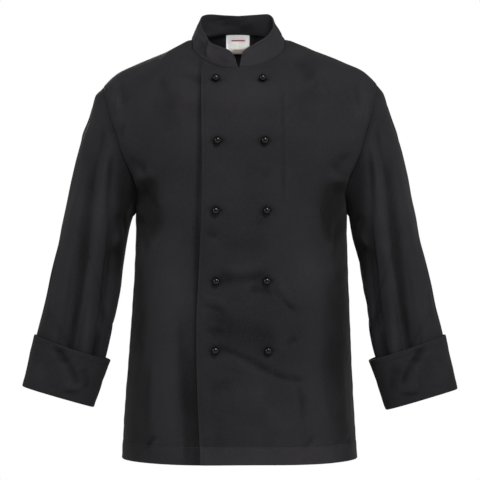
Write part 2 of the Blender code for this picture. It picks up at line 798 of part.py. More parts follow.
def collar_grid(fronts, back):
    """The stand collar's skin, from its right front end round the neck to its left one. It
    leans in towards the neck, and its front corners are rounded."""
    neck = len(NECK_ANGLES)
    ends = {side: fronts[side][OVERLAP_COLUMNS : OVERLAP_COLUMNS + neck, 0] for side in WEARER}
    middle = (back.shape[0] - 1) // 2
    behind = back[middle - neck + 1 : middle + neck, 0]
    base = np.concatenate([ends["right"], behind[1:-1], ends["left"][::-1]])
    half = np.concatenate([NECK_ANGLES, 180 - np.array(NECK_ANGLES[-2::-1])])
    tops = {}
    for side in WEARER:
        out = COLLAR_TOP.at(f"{side}_out", half) * OUTWARD_X[side]
        tops[side] = np.stack(
            [out, -COLLAR_TOP.at("forward", half), -COLLAR_TOP.at(f"{side}_below", half)], axis=-1
        )
    top = np.concatenate([tops["right"], tops["left"][-2::-1]])
    outward = unit(base * np.array([1, 1, 0]) + np.array([0, 1e-6, 0]))
    rows = [
        base * (1 - level) + top * level + outward * COLLAR_BOW * math.sin(math.pi * level)
        for level in COLLAR_LEVELS
    ]
    return np.stack(rows, axis=1)


def make_collar(grid, skin, parent):
    """The collar, drawn up from the neck seam."""
    everywhere = slice(None)
    steps = skin.inwards(grid)
    outer = drawn_back(grid, steps, top_seams(everywhere))
    wall("collar", outer, outer + steps * COLLAR_CLOTH, BLACK_TWILL, parent)


def rows_at(patch, out):
    """One line down a patch, at one place across it. Its first three values are the point."""
    return np.array([
        [np.interp(out, row[:, 0], values) for values in row.T] for row in np.moveaxis(patch, 1, 0)
    ])


def read_along(run, line, places):
    """A line's values at other places of its run."""
    return np.stack([np.interp(places, run, values) for values in line.T], axis=-1)


def make_label(back_inside, back_outward, parent):
    """The neck label: it lies on the back's inside, sewn in just under the collar seam."""
    middle = (back_inside.shape[0] - 1) // 2
    near = slice(middle - 4, middle + 5)
    patch = np.concatenate([back_inside, back_outward], axis=-1)[near]
    places = np.linspace(LABEL_BELOW_SEAM, LABEL_BELOW_SEAM + LABEL_HEIGHT, 7)
    columns = []
    for out in LABEL_OFF_CENTRE + LABEL_WIDTH * np.linspace(-0.5, 0.5, 5):
        line = rows_at(patch, out)
        columns.append(read_along(length_along(line[:, :3]), line, places))
    face, lean = np.split(np.array(columns), 2, axis=-1)
    lean = unit(lean)
    outer = face - lean * LABEL_REST
    wall("neck_label", outer, outer - lean * LABEL_CLOTH, WHITE_LABEL, parent)


def button_mesh():
    """One stud button as a turned profile: a ball on a short neck and a thin foot."""
    ball, neck, foot = BUTTON_BALL / 2, BUTTON_NECK / 2, BUTTON_FOOT / 2
    start = math.asin(neck / ball)
    centre = BUTTON_NECK_HEIGHT + ball * math.cos(start)
    turns = np.linspace(math.pi, start, BUTTON_STEPS // 2 + 1)
    profile = [(ball * math.sin(a), centre - ball * math.cos(a)) for a in turns]
    profile[0] = (0.0, profile[0][1])
    profile += [(neck, BUTTON_FOOT_HEIGHT), (foot, BUTTON_FOOT_HEIGHT), (foot, 0.0), (0.0, 0.0)]
    mesh = bpy.data.meshes.new("button_profile")
    points = [(r * MM, 0.0, h * MM) for r, h in profile]
    mesh.from_pydata(points, [(k, k + 1) for k in range(len(points) - 1)], [])
    mesh.materials.append(material(*BLACK_BUTTON))
    return mesh


def make_buttons(outside, parent):
    """Ten buttons in two columns, each square to the cloth that it sits on."""
    profile = button_mesh()
    normals = grid_normals(outside, -1)
    for row in range(len(BUTTONS.values["row"])):
        for column in ("left", "right"):
            out, below = BUTTONS.values[column][row], BUTTONS.values["below"][row]
            away = np.abs(outside[..., 0] - out) + np.abs(outside[..., 2] + below)
            i, j = np.unravel_index(np.argmin(away), away.shape)
            span_i, span_j = slice(max(i - 2, 0), i + 3), slice(max(j - 2, 0), j + 3)
            near, lean = outside[span_i, span_j], normals[span_i, span_j]
            spot = surface_at(near, out, -below)
            normal = unit(surface_at(near, out, -below, lean))
            place = spot + normal * SEAT_GAP
            made = bpy.data.objects.new(f"button_{column}_{row + 1}", profile)
            jacket_collection().objects.link(made)
            turned = made.modifiers.new("turned", "SCREW")
            turned.steps = turned.render_steps = BUTTON_STEPS
            turned.use_merge_vertices = True
            turned.merge_threshold = 0.00001
            turned.use_normal_calculate = True
            made.location = place * MM
            made.rotation_mode = "QUATERNION"
            made.rotation_quaternion = direction_turn(normal)
            made.parent = parent


def surface_at(patch, out, height, values=None):
    """A patch's point, or other values on it, at a place seen from the front."""
    values = patch if values is None else values
    columns = []
    for j in range(patch.shape[1]):
        order = np.argsort(patch[:, j, 0])
        line = patch[order, j, 0]
        z = np.interp(out, line, patch[order, j, 2])
        columns.append([z] + [np.interp(out, line, values[order, j, k]) for k in range(3)])
    columns = np.array(columns)[::-1]
    return np.array([np.interp(height, columns[:, 0], columns[:, k]) for k in (1, 2, 3)])


def direction_turn(normal):
    """The turn that takes +Z to a direction, as a quaternion."""
    half = unit(np.array([0.0, 0.0, 1.0]) + normal)
    cross = np.cross([0.0, 0.0, 1.0], half)
    return (float(half[2]), *[float(v) for v in cross])


def build_jacket():
    """Clears the scene and makes every piece under one empty at the origin."""
    for old in list(bpy.data.objects):
        bpy.data.objects.remove(old)
    root = bpy.data.objects.new("chef_jacket_origin", None)
    jacket_collection().objects.link(root)

    half_front, half_back = half_panel(True), half_panel(False)
    fronts = {side: front_panel(half_front, side) for side in WEARER}
    back = back_panel(half_back)
    shoulder = slice(OVERLAP_COLUMNS + len(NECK_ANGLES) - 1, None)
    middle = (back.shape[0] - 1) // 2
    neck = len(NECK_ANGLES) - 1
    back[0], back[-1] = fronts["right"][-1], fronts["left"][-1]
    back[middle + neck :, 0] = fronts["left"][shoulder, 0]
    back[: middle - neck + 1, 0] = fronts["right"][shoulder, 0][::-1]

    armholes = {}
    for side, edge in (("right", 0), ("left", -1)):
        before = fronts[side][-1, : ARMHOLE_ROWS + 1]
        behind = hung(half_back[-1, 1:ARMHOLE_ROWS] * np.array([OUTWARD_X[side], 1, 1]))
        back[edge, 1:ARMHOLE_ROWS] = behind
        armholes[side] = np.concatenate([before, behind[::-1]])
    sleeves = {side: sleeve_grid(armholes[side], side) for side in WEARER}
    collar = collar_grid(fronts, back)

    skin = Skin()
    skin.add("body", back, 1)
    skin.add("collar", collar, -1)
    for side in WEARER:
        skin.add("body", fronts[side], -OUTWARD_X[side])
        skin.add("sleeve", sleeves[side], OUTWARD_X[side], wraps=True)

    left_outside = make_fronts(fronts, skin, root)
    back_inside, back_outward = make_back(back, skin, root)
    make_collar(collar, skin, root)
    make_label(back_inside, back_outward, root)
    for side in WEARER:
        make_sleeve(sleeves[side], skin, side, root)
        make_cuff(len(armholes[side]), side, root)
    make_buttons(left_outside, root)


build_jacket()
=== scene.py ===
"""A double-breasted chef jacket in black twill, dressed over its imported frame.

Sizes are in millimetres until a mesh is made. +Z is up, the jacket faces -Y, and +X is the
wearer's left. "below" is the depth under the middle of the neck opening, and "out" the distance
from the jacket's middle.
"""

import math

import bpy
import numpy as np
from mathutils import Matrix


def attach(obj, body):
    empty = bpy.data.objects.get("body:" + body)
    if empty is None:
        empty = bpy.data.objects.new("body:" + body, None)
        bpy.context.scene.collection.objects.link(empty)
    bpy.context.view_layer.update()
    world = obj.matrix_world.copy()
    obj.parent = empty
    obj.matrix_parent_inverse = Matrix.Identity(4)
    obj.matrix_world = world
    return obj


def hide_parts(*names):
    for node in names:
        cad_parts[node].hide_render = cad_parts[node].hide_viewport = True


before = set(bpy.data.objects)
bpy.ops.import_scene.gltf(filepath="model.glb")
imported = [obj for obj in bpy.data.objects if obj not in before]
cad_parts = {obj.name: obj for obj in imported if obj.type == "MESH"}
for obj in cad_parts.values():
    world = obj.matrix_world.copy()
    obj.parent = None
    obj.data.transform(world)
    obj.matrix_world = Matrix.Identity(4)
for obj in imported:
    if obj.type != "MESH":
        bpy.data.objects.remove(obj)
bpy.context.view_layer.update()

# ---- Fronts -----------------------------------------------------------------------------
# The two fronts are cut from one width of black polyester-cotton twill, and the left one laps
# over the right by a hand's width. Their edges are folded in, so each edge is two layers
# thick. The hem is turned up and held by one row of stitching.

MM = 0.001
CLOTH = 1.6
FRONT_STEP = 3.6
HEM_DEPTH = 31.0
UNDERARM_BELOW = 317.0
SIDES = {"right": -1, "left": 1}


class Table:
    """Rows of numbers under named columns, read smoothly between rows by the first column."""

    def __init__(self, columns, *rows):
        self.columns = columns
        self.rows = rows
        self.values = {name: np.array(v, float) for name, v in zip(columns, zip(*rows))}

    def at(self, name, where):
        """Cubic through the rows, with no overshoot between them."""
        xs, ys = self.values[self.columns[0]], self.values[name]
        x = np.clip(np.asarray(where, float), xs[0], xs[-1])
        step = np.diff(xs)
        slope = np.diff(ys) / step
        product = slope[:-1] * slope[1:]
        total = np.where(product > 0, slope[:-1] + slope[1:], 1.0)
        inner = np.where(product > 0, 2 * product / total, 0.0)
        tangent = np.concatenate(([slope[0]], inner, [slope[-1]]))
        k = np.clip(np.searchsorted(xs, x, side="right") - 1, 0, len(xs) - 2)
        t = (x - xs[k]) / step[k]
        return (
            ys[k] * (1 + 2 * t) * (1 - t) ** 2
            + ys[k + 1] * t**2 * (3 - 2 * t)
            + step[k] * (tangent[k] * t * (1 - t) ** 2 - tangent[k + 1] * t**2 * (1 - t))
        )

    def each(self):
        """The rows one by one, as dictionaries."""
        return [dict(zip(self.columns, row)) for row in self.rows]


def unit(vectors):
    """The same directions, one long."""
    return vectors / np.maximum(np.linalg.norm(vectors, axis=-1, keepdims=True), 1e-9)


def fade(value, full, none):
    """1 up to full, then smoothly down to 0 at none. full may be the larger of the two."""
    t = np.clip((none - value) / (none - full), 0.0, 1.0)
    return t * t * (3 - 2 * t)


# The body's form at each height: the side seam's distance from the middle, and how far the
# front and the back stand from the plane of the side seams
BODY = Table(
    ("below", "half_width", "front_depth", "back_depth"),
    (60, 276, 80, 103),
    (80, 276, 94, 108),
    (100, 274, 107, 112),
    (130, 270, 120, 117),
    (170, 262, 130, 121),
    (210, 248, 135, 122),
    (245, 222, 137, 120),
    (270, 204, 138, 117),
    (293, 195, 137, 114),
    (317, 193.5, 136, 111),
    (350, 193.5, 135, 108),
    (400, 195, 134, 105),
    (500, 199.5, 135, 104),
    (600, 205, 139, 109),
    (700, 211.5, 144, 116),
    (767, 215, 148, 121),
)
SWAY = Table(("below", "shift"), (0, 0), (150, 1.0), (300, 2.5), (560, 0.5), (767, -1.2))
SHOULDER = Table(
    ("out", "below"),
    (0, -32),
    (86.5, 2),
    (127, 21),
    (180, 42.5),
    (216, 58.5),
    (236, 69.5),
    (244, 77),
    (251, 87.5),
)
ARMHOLE = Table(
    ("below", "out"),
    (87.5, 251),
    (100, 248),
    (145, 236.5),
    (180, 225),
    (218, 214),
    (251, 199.5),
    (273, 192),
    (295, 190),
    (317, 193.5),
)
OVERLAP_EDGE = Table(
    ("below", "past_centre"),
    (67.5, 69.5),
    (300, 69.5),
    (387, 72.5),
    (446, 75.5),
    (510, 78),
    (617, 75.5),
    (688, 73),
    (767, 68.5),
)
# Where the studs sit: how far below, and where on the wearer's right and left
STUDS = Table(
    ("row", "below", "right", "left"),
    (1, 84.0, -43.0, 40.5),
    (2, 193.5, -39.5, 44.0),
    (3, 317.0, -42.5, 47.0),
    (4, 442.5, -42.0, 47.5),
    (5, 566.0, -43.5, 50.0),
)
STUD_PLACES = [(stud[side], stud["below"]) for stud in STUDS.each() for side in SIDES]
NECK_HALF_WIDTH, NECK_FRONT_DROP, NECK_POINT_BELOW = 86.5, 62.6, 2.0
NECK_ANGLES = (1, 8, 18, 31, 46, 61, 76, 90)
MID_BACKWARD, BACK_NECK_BACKWARD, BACK_NECK_RISE = 6.0, 62.0, 15.0
# Powers that bend the neck seam, square off the body's sections and crowd a panel's columns
NECK_DEPTH_CURVE, BACK_NECK_CURVE, BODY_SQUARENESS, COLUMN_SPREAD = 0.8, 1.6, 3, 0.86
# Degrees at which the cloth leaves the neck seam, and how it rolls over the shoulder
FRONT_NECK_SLOPE, BACK_NECK_SLOPE = 42, 56
SHOULDER_ROLL, ROLL_START, ROLL_END = 95, 0.55, 0.5
# How far the jacket hangs off true, and how far the left front clears the right one
NECK_SHIFT, SHOULDER_TILT, SHOULDER_RISE = 2.5, 1.8, 0.2
OVERLAP_CLEAR, LOWER_OVERLAP_CLEAR = 2.0, 1.2
OVERLAP_COLUMNS, SHOULDER_COLUMNS, ROLL_ROWS, ARMHOLE_ROWS = 3, 6, 6, 11
HANGING_ROWS = (346, 374, 402, 430, 459, 488, 518, 548, 578, 608, 638, 668, 697, 724, 748, 767)


def body_depth(column, out, below):
    """How far the body's front or back stands from the side seams' plane."""
    share = np.clip(np.abs(out) / BODY.at("half_width", below), 0.0, 1.0)
    return BODY.at(column, below) * np.sqrt(1 - share**BODY_SQUARENESS)


def grid_normals(grid, outward, wraps=False):
    """Unit normals of a grid of points; outward is the sign that turns them out."""
    if wraps:
        grid = np.concatenate([grid[-1:], grid, grid[:1]])
    normals = outward * unit(np.cross(np.gradient(grid, axis=0), np.gradient(grid, axis=1)))
    return normals[1:-1] if wraps else normals


def neck_seam(angle_deg, front):
    """Point of the collar seam, as (out, y, below): 0 degrees is the middle, 90 a neck point."""
    angle = math.radians(angle_deg)
    level = math.cos(angle)
    if front:
        depth = -body_depth("front_depth", 0, NECK_FRONT_DROP)
        drop = (NECK_FRONT_DROP - NECK_POINT_BELOW) * level
    else:
        depth = BACK_NECK_BACKWARD - MID_BACKWARD
        drop = -(NECK_POINT_BELOW + BACK_NECK_RISE) * level**BACK_NECK_CURVE
    out = NECK_HALF_WIDTH * math.sin(angle)
    return out, MID_BACKWARD + depth * level**NECK_DEPTH_CURVE, NECK_POINT_BELOW + drop


def half_panel(front):
    """Half of a front or back as a coarse grid, from the middle to the side seam and from the
    neck and shoulder seams, over the shoulder and past the armhole, down to the hem."""
    top = [neck_seam(angle, front) for angle in NECK_ANGLES]
    steepest = FRONT_NECK_SLOPE if front else BACK_NECK_SLOPE
    slopes = [steepest * math.cos(math.radians(angle)) for angle in NECK_ANGLES]
    shoulder_outs = np.linspace(NECK_HALF_WIDTH, SHOULDER.rows[-1][0], SHOULDER_COLUMNS + 1)[1:]
    top += [(out, MID_BACKWARD, float(SHOULDER.at("below", out))) for out in shoulder_outs]
    top = np.array(top)
    slopes = np.radians(slopes + [0] * SHOULDER_COLUMNS)
    sign = -1 if front else 1
    tip = top[-1, 2]
    turning = tip + SHOULDER_ROLL * (1 - np.cos(np.linspace(0, math.pi / 2, ROLL_ROWS + 1)))
    passing = np.linspace(turning[-1], UNDERARM_BELOW, ARMHOLE_ROWS - ROLL_ROWS + 1)[1:]
    levels = np.concatenate((turning, passing, HANGING_ROWS))
    settle = fade(np.arange(len(levels)), ROLL_ROWS, ARMHOLE_ROWS + 3)
    below = levels + (top[:, 2] - tip)[:, None] * settle
    edge = np.where(
        levels <= UNDERARM_BELOW, ARMHOLE.at("out", levels), BODY.at("half_width", levels)
    )
    rows = np.clip(np.arange(len(edge)) / (ARMHOLE_ROWS + 2), 0, 1)
    neck_fan = np.sin(np.radians(NECK_ANGLES)) ** 2
    shoulder_fan = 1 - np.arange(1, SHOULDER_COLUMNS + 1) / SHOULDER_COLUMNS
    fan = np.concatenate([neck_fan, shoulder_fan])[:, None]
    blend = fade(rows, 1, 0) * (1 - fan) + np.sqrt(rows) * fan
    hang = np.sin(np.linspace(0, math.pi / 2, len(top)))[:, None] ** COLUMN_SPREAD
    out = edge * (top[:, :1] / top[-1, 0] * (1 - blend) + hang * blend)
    y = MID_BACKWARD + sign * body_depth("front_depth" if front else "back_depth", out, below)
    for i, (point, slope) in enumerate(zip(top, slopes)):
        start, end = point[1:], np.array([y[i, ROLL_ROWS], below[i, ROLL_ROWS]])
        reach = np.abs(end - start) @ (math.cos(slope), math.sin(slope))
        leaving = start + ROLL_START * reach * np.array([sign * math.cos(slope), math.sin(slope)])
        arriving = end - np.array([0.0, ROLL_END * abs(end[1] - start[1])])
        ridge = SHOULDER.at("below", out[i])
        for j in range(ROLL_ROWS):
            t = j / ROLL_ROWS
            y[i, j], below[i, j] = bezier((start, leaving, arriving, end), t)
            below[i, j] += (ridge[j] - ridge[0]) * fade(t, 0, 1)
    out[-1, :ROLL_ROWS] = ARMHOLE.at("out", below[-1, :ROLL_ROWS])
    return np.stack([out, y, -below], axis=-1)


def bezier(points, t):
    """Point on a cubic curve."""
    a, b, c, d = points
    return a * (1 - t) ** 3 + 3 * b * t * (1 - t) ** 2 + 3 * c * t**2 * (1 - t) + d * t**3


def hung(grid):
    """The same points, a little off the middle, as the jacket hangs."""
    out, below = grid[..., 0], -grid[..., 2]
    at_neck = fade(np.abs(out), 90, 125) * fade(below, 30, 110)
    at_shoulder = fade(np.abs(out), 156.5, NECK_HALF_WIDTH) * fade(below, 90, 170)
    moved = grid.copy()
    moved[..., 0] += SWAY.at("shift", below) - NECK_SHIFT * at_neck
    moved[..., 2] += (SHOULDER_TILT * np.sign(out) + SHOULDER_RISE) * at_shoulder
    return moved


def front_panel(half, side):
    """One front as a coarse grid, with its overlap past the centre. The left front stands out
    over the right one as far as that reaches."""
    sign = SIDES[side]
    share = np.arange(OVERLAP_COLUMNS, 0, -1)[:, None] / OVERLAP_COLUMNS
    lowered = (OVERLAP_EDGE.rows[0][0] - NECK_FRONT_DROP) * share
    below = -half[0, :, 2][None, :] + lowered * fade(np.arange(half.shape[1]), 0, ARMHOLE_ROWS)
    past = OVERLAP_EDGE.at("past_centre", below) * share
    depth = np.empty_like(past)
    for index in np.ndindex(past.shape):
        rows = np.moveaxis(half, 1, 0)
        line_y = [np.interp(past[index], row[:, 0], row[:, 1]) for row in rows]
        line_below = [np.interp(past[index], row[:, 0], -row[:, 2]) for row in rows]
        depth[index] = np.interp(below[index], line_below, line_y)
    overlap = np.stack([-past, depth, -below], axis=-1)
    grid = np.concatenate([overlap, half]) * np.array([sign, 1, 1])
    out, below = grid[..., 0], -grid[..., 2]
    if side == "left":
        clear = CLOTH + OVERLAP_CLEAR + LOWER_OVERLAP_CLEAR * fade(below, 90, 150)
        lift = clear * fade(out, 78, 112) * fade(below, 55, 30)
        grid = grid + grid_normals(grid, -sign) * lift[..., None]
    return hung(grid)


def runs(points):
    """Every point's distance from the grid's first column, and from its first row."""
    across = np.cumsum(np.linalg.norm(np.diff(points, axis=0), axis=-1), axis=0)
    down = np.cumsum(np.linalg.norm(np.diff(points, axis=1), axis=-1), axis=1)
    return np.pad(across, ((1, 0), (0, 0))), np.pad(down, ((0, 0), (1, 0)))


def smooth_curve(knots, values, places):
    """The bending curve through values at their knots, read at other places."""
    gap = np.diff(knots)[:, None]
    flat = values.reshape(len(knots), -1)
    rise = np.diff(flat, axis=0) / gap
    system = np.eye(len(knots))
    for k in range(1, len(knots) - 1):
        before, after = gap[k - 1, 0], gap[k, 0]
        system[k, k - 1 : k + 2] = before, 2 * (before + after), after
    pull = np.zeros_like(flat)
    pull[1:-1] = 6 * np.diff(rise, axis=0)
    bend = np.linalg.solve(system, pull)
    k = np.clip(np.searchsorted(knots, places, side="right") - 1, 0, len(knots) - 2)
    t, h = (places - knots[k])[:, None], gap[k]
    slope = rise[k] - h * (2 * bend[k] + bend[k + 1]) / 6
    found = flat[k] + t * slope + t**2 * bend[k] / 2 + t**3 * (bend[k + 1] - bend[k]) / (6 * h)
    return found.reshape(len(places), *values.shape[1:])


def places_along(total, step):
    """Places from seam to seam: a step apart, and closer at both ends, where the cloth turns."""
    close = np.array([0.2, 0.9, 1.8, 2.9, 4.4])
    special = np.concatenate([close, total - close])
    even = np.linspace(close[0], total - close[0], round(total / step))
    even = even[np.abs(even[:, None] - special).min(axis=1) > 0.45 * step]
    return np.unique(np.concatenate([special, even]))


def finer(grid, step):
    """The smooth surface through a coarse grid, as a fine one."""
    across, down = runs(grid)
    across, down = across.mean(axis=1), down.mean(axis=0)
    grid = smooth_curve(across, grid, places_along(across[-1], step))
    return smooth_curve(down, grid.swapaxes(0, 1), places_along(down[-1], step)).swapaxes(0, 1)


def bell(value, reach):
    """1 at zero, and all but gone at twice the reach on either side."""
    return np.exp(-((value / reach) ** 2))


def waves(points, size, seed, count=9):
    """Soft unevenness of about the given size, from -1 to 1, the same on every run."""
    random = np.random.RandomState(seed)
    total = np.zeros(points.shape[:-1])
    for _ in range(count):
        direction = unit(random.normal(size=points.shape[-1]))
        length = size * random.uniform(0.7, 1.9)
        total += np.sin(points @ direction * 2 * math.pi / length + random.uniform(0, 6.3))
    return total / math.sqrt(count) / 1.4


def settled(points):
    """The whole jacket's own unevenness: each point shifts by a millimetre or so, and pieces
    that meet shift alike."""
    shift = np.stack([waves(points, 190, seed) for seed in (3, 5, 8)], axis=-1)
    return points + shift * np.array([0.9, 1.6, 0.7])


def folds_on(table, across, down, scale=(1, 1), closed=None):
    """Sum of the folds' lifts at places on the cloth. Each is a bent line that fades over its
    ends, swells and narrows along its way, and is steeper on one side. scale is the millimetres
    in each unit of its a and b, and closed is the way round a sleeve or cuff."""
    lift = np.zeros_like(across)
    for k, fold in enumerate(table.each()):
        start = np.array([fold["start_a"], fold["start_b"]], float) * scale
        line = np.array([fold["end_a"], fold["end_b"]], float) * scale - start
        length = np.linalg.norm(line)
        offset_a, offset_b = across - start[0], down - start[1]
        if closed:
            middle = line[0] / 2
            offset_a = (offset_a - middle + closed / 2) % closed - closed / 2 + middle
        along = (offset_a * line[0] + offset_b * line[1]) / length**2
        side = (offset_a * line[1] - offset_b * line[0]) / length
        side = side - fold["bend"] * 4 * along * (1 - along)
        side = side - 0.12 * fold["width"] * np.sin(9 * along + 2 * k)
        width = fold["width"] * (1 + 0.18 * np.sin(7 * along + k))
        width = width * np.where(side > 0, 1 + fold["skew"], 1 - fold["skew"])
        ends = fade(along, 0.28, 0) * fade(along, 0.72, 1.0)
        swell = 1 + 0.22 * np.sin(11 * along + 3 * k)
        lift += fold["lift"] * ends * swell * bell(side, width)
    return lift


def folds(*rows):
    """A table of folds."""
    return Table(("start_a", "start_b", "end_a", "end_b", "bend", "width", "skew", "lift"), *rows)


# Folds of the fronts, as lines seen from the front: a is out, b is below. A trough's lift is
# negative. The long ones hang from chest and underarm, and the short ones are pulled by studs.
FRONT_FOLDS = folds(
    (-130, 330, -134, 790, 0, 27, 0, 6.5),
    (-98, 450, -94, 860, 0, 21, 0.1, -2.2),
    (126, 300, 134, 820, 0, 27, 0, 4.0),
    (177, 320, 184, 830, 0, 24, 0.1, -3.8),
    (-172, 246, -160, 380, 0, 16, 0.2, -8.0),
    (174, 250, 164, 384, 0, 18, -0.1, -6.0),
    (-198, 270, -152, 246, 0, 11, 0, 3.5),
    (198, 272, 154, 250, 0, 11, 0, 3.5),
    (-180, 380, -186, 820, 0, 17, 0, -4.2),
    (-40, 385, 60, 380, 0, 18, 0, -1.6),
    (-76, 508, 76, 556, 0, 25, 0, -3.0),
    (-20, 646, 60, 654, 0, 26, 0, 3.5),
    (60, 470, 120, 450, 0, 22, 0, 2.5),
    (225, 95, 216, 175, 0, 12, 0, 4.0),
    (-225, 95, -216, 175, 0, 12, 0, 4.0),
)
FRONT_CREASES = folds(
    # pulled between the studs of the fourth and fifth rows
    (-48, 439, 58, 433, -3, 9, 0.2, -3.8),
    (-34, 421, 44, 417, -3, 8, 0.0, 1.4),
    (-56, 554, 74, 617, 4, 5.5, 0.35, -3.0),
    (-34, 574, 66, 630, 4, 9, -0.3, 2.2),
    (54, 606, 122, 622, -3, 5, 0.45, -3.0),
    (100, 618, 110, 700, 4, 6, 0.3, -2.6),
    (40, 668, 102, 706, -8, 14, 0.0, 2.6),
    (-62, 636, -8, 630, 4, 11, 0.0, -1.6),
    (-72, 474, -22, 486, 4, 5, 0.4, 2.0),
    (-74, 486, -18, 500, 4, 5, -0.4, -2.6),
    (-60, 516, -18, 522, -3, 6, 0.0, 1.6),
    (-62, 528, -22, 534, -3, 7, 0.0, -1.8),
    (10, 462, 62, 468, 5, 7, 0.3, -2.8),
    (58, 452, 108, 504, -4, 4.5, 0.5, -3.4),
    (66, 444, 116, 492, -4, 7, 0.0, 1.8),
    (82, 560, 106, 544, 2, 6, 0.3, -2.2),
    (-68, 359, -40, 367, 2, 7, 0.2, -2.4),
    (-66, 372, -36, 381, 3, 6, 0.0, 1.6),
    (22, 340, 58, 346, 3, 8, 0.0, -1.4),
    (8, 246, 60, 262, 6, 12, 0.0, -1.0),
    # from the collar ends and over the collarbones
    (-116, 60, -56, 82, 4, 6, 0.4, 2.4),
    (-108, 72, -60, 94, 2, 6, 0.3, -2.4),
    (-116, 96, -72, 132, -5, 15, 0.0, 2.6),
    (98, 44, 128, 92, 6, 13, 0.0, -2.2),
    (-150, 112, -116, 176, 8, 18, 0.0, -1.6),
    (140, 96, 118, 170, -8, 18, 0.0, -1.2),
    (-2, 70, 3, 126, 3, 5, 0.3, -1.4),
    (72, 64, 76, 330, 1, 2.4, 0.6, -1.7),
    (79, 64, 84, 330, 1, 4, 0.0, 1.2),
    # shoulder tips and armholes
    (-226, 70, -220, 150, 2, 4, 0.5, 2.6),
    (-217, 78, -213, 150, 2, 5, 0.3, -2.4),
    (222, 68, 225, 146, -2, 4, -0.5, 2.6),
    (214, 78, 217, 150, -2, 5, -0.3, -2.4),
    (204, 120, 212, 200, 6, 14, 0.0, 2.2),
    (-206, 160, -214, 196, -3, 5, 0.4, -2.6),
    (-200, 160, -208, 204, -3, 6, 0.0, 1.8),
    # underarms: short folds that run from the armhole down towards the chest
    (-204, 222, -160, 268, 5, 6, 0.5, -2.4),
    (-200, 240, -156, 296, 6, 7, 0.0, 1.8),
    (-198, 268, -146, 336, 7, 7, 0.4, -2.4),
    (-196, 298, -158, 372, 5, 7, 0.0, 2.0),
    (-188, 322, -166, 410, 4, 6, 0.4, -2.6),
    (206, 214, 164, 250, -5, 7, -0.3, -1.8),
    (202, 236, 158, 290, -5, 8, 0.0, 1.2),
    (199, 262, 148, 332, -7, 8, -0.2, -1.6),
    (196, 294, 160, 366, -5, 7, 0.0, 2.0),
    (188, 320, 168, 416, -4, 6, -0.4, -2.8),
    # hanging folds of the skirt
    (-112, 470, -116, 760, 5, 7, 0.4, -1.8),
    (-154, 520, -160, 780, -6, 11, 0.3, -2.4),
    (-102, 590, -100, 790, 3, 7, 0.5, -2.6),
    (104, 620, 112, 790, 5, 10, 0.3, -1.8),
    (152, 400, 158, 720, -5, 12, 0.3, -1.4),
    (188, 470, 196, 770, -4, 9, 0.0, 2.0),
    (20, 690, 26, 790, 3, 20, 0.0, 1.4),
    (-40, 664, -44, 780, 3, 16, 0.0, -1.2),
    # puckers over the hem
    (-170, 744, -146, 718, 2, 5, 0.4, -2.8),
    (-160, 748, -138, 726, 2, 6, 0.0, 1.6),
    (-66, 738, -52, 718, 2, 6, 0.3, -1.6),
    (112, 744, 138, 716, 2, 5, 0.4, -2.8),
    (122, 748, 146, 724, 2, 6, 0.0, 1.6),
    (60, 744, 78, 722, 2, 6, 0.0, 1.4),
)

# Painted shade and light on the fronts: painted shade by the underarms, along the sides and in broad
# bands lower down, painted light over the upper chest, and a painted shadow of the overlap's edge
# on the right front beside it. Only the colour follows.
FRONT_PAINTED_SHADING = folds(
    (-196, 240, -186, 372, 0, 11, 0, -10.0),
    (196, 236, 186, 372, 0, 11, 0, -10.0),
    (-178, 236, -172, 392, 0, 16, 0, -4.0),
    (176, 226, 170, 392, 0, 17, 0, -4.5),
    (-188, 316, -146, 330, 0, 13, 0.0, -6.0),
    (188, 314, 144, 328, 0, 13, 0.0, -6.0),
    (196, 330, 202, 860, 0, 17, 0, -5.0),
    (-200, 380, -212, 860, 0, 14, 0, -1.6),
    (-120, 70, -74, 128, 0, 26, 0, 2.6),
    (-30, 60, 60, 150, 0, 50, 0, 2.0),
    (-20, 240, 40, 700, 0, 90, 0, -0.5),
    (132, 420, 136, 760, 0, 24, 0, -2.2),
)
PAINTED_SHADOW_OF_EDGE = folds(
    (-70.5, -60, -78.5, 900, 0, 3.0, 0, -7.0),
    (-75, 240, -79.5, 960, 0, 5.0, 0, -6.0),
    (-80, 540, -82, 1000, 0, 14, 0, -4.0),
)


def turned_in(outer, outward, wraps, seams):
    """The sheet with its seam allowances, which turn in at each seam, and how many points they
    add before and after the sheet's own, along and across."""
    normals = grid_normals(outer, outward, wraps)
    depths = np.array([0.7, 1.9, 3.3])  # of an allowance's points, inwards from the seam
    added = np.zeros((2, 2), int)
    for seam, axis, index in (("start", 0, 0), ("end", 0, -1), ("top", 1, 0), ("bottom", 1, -1)):
        if seam not in seams:
            continue
        edge, way = np.take(outer, [index], axis), np.take(normals, [index], axis)
        beside = np.take(outer, [-2 if index else 1], axis)
        steps = (depths if index else depths[::-1]).reshape((-1, 1, 1) if axis == 0 else (1, -1, 1))
        turning = edge - (way - 0.03 * unit(beside - edge)) * steps
        ways = np.repeat(way, len(depths), axis)
        order = (outer, turning) if index else (turning, outer)
        outer = np.concatenate(order, axis)
        normals = np.concatenate((normals, ways) if index else (ways, normals), axis)
        added[axis, -index] = len(depths)
    return outer, added


def put(name, data):
    """A new object in the scene, at the origin."""
    made = bpy.data.objects.new(name, data)
    bpy.context.scene.collection.objects.link(made)
    return made


# How much the cloth thins into a seam and bulges at a free edge, as shares of its thickness, the
# fold's height at which its painted shade is nearly full, and the painted light on a ridge as a
# share of the painted shade in a trough
THINNER_AT_SEAM, RIM_BULGE = 0.62, 0.42
DEEP_FOLD, RIDGE_SHARE = 4.5, 0.42
FAR_FROM_EDGE = 30.0


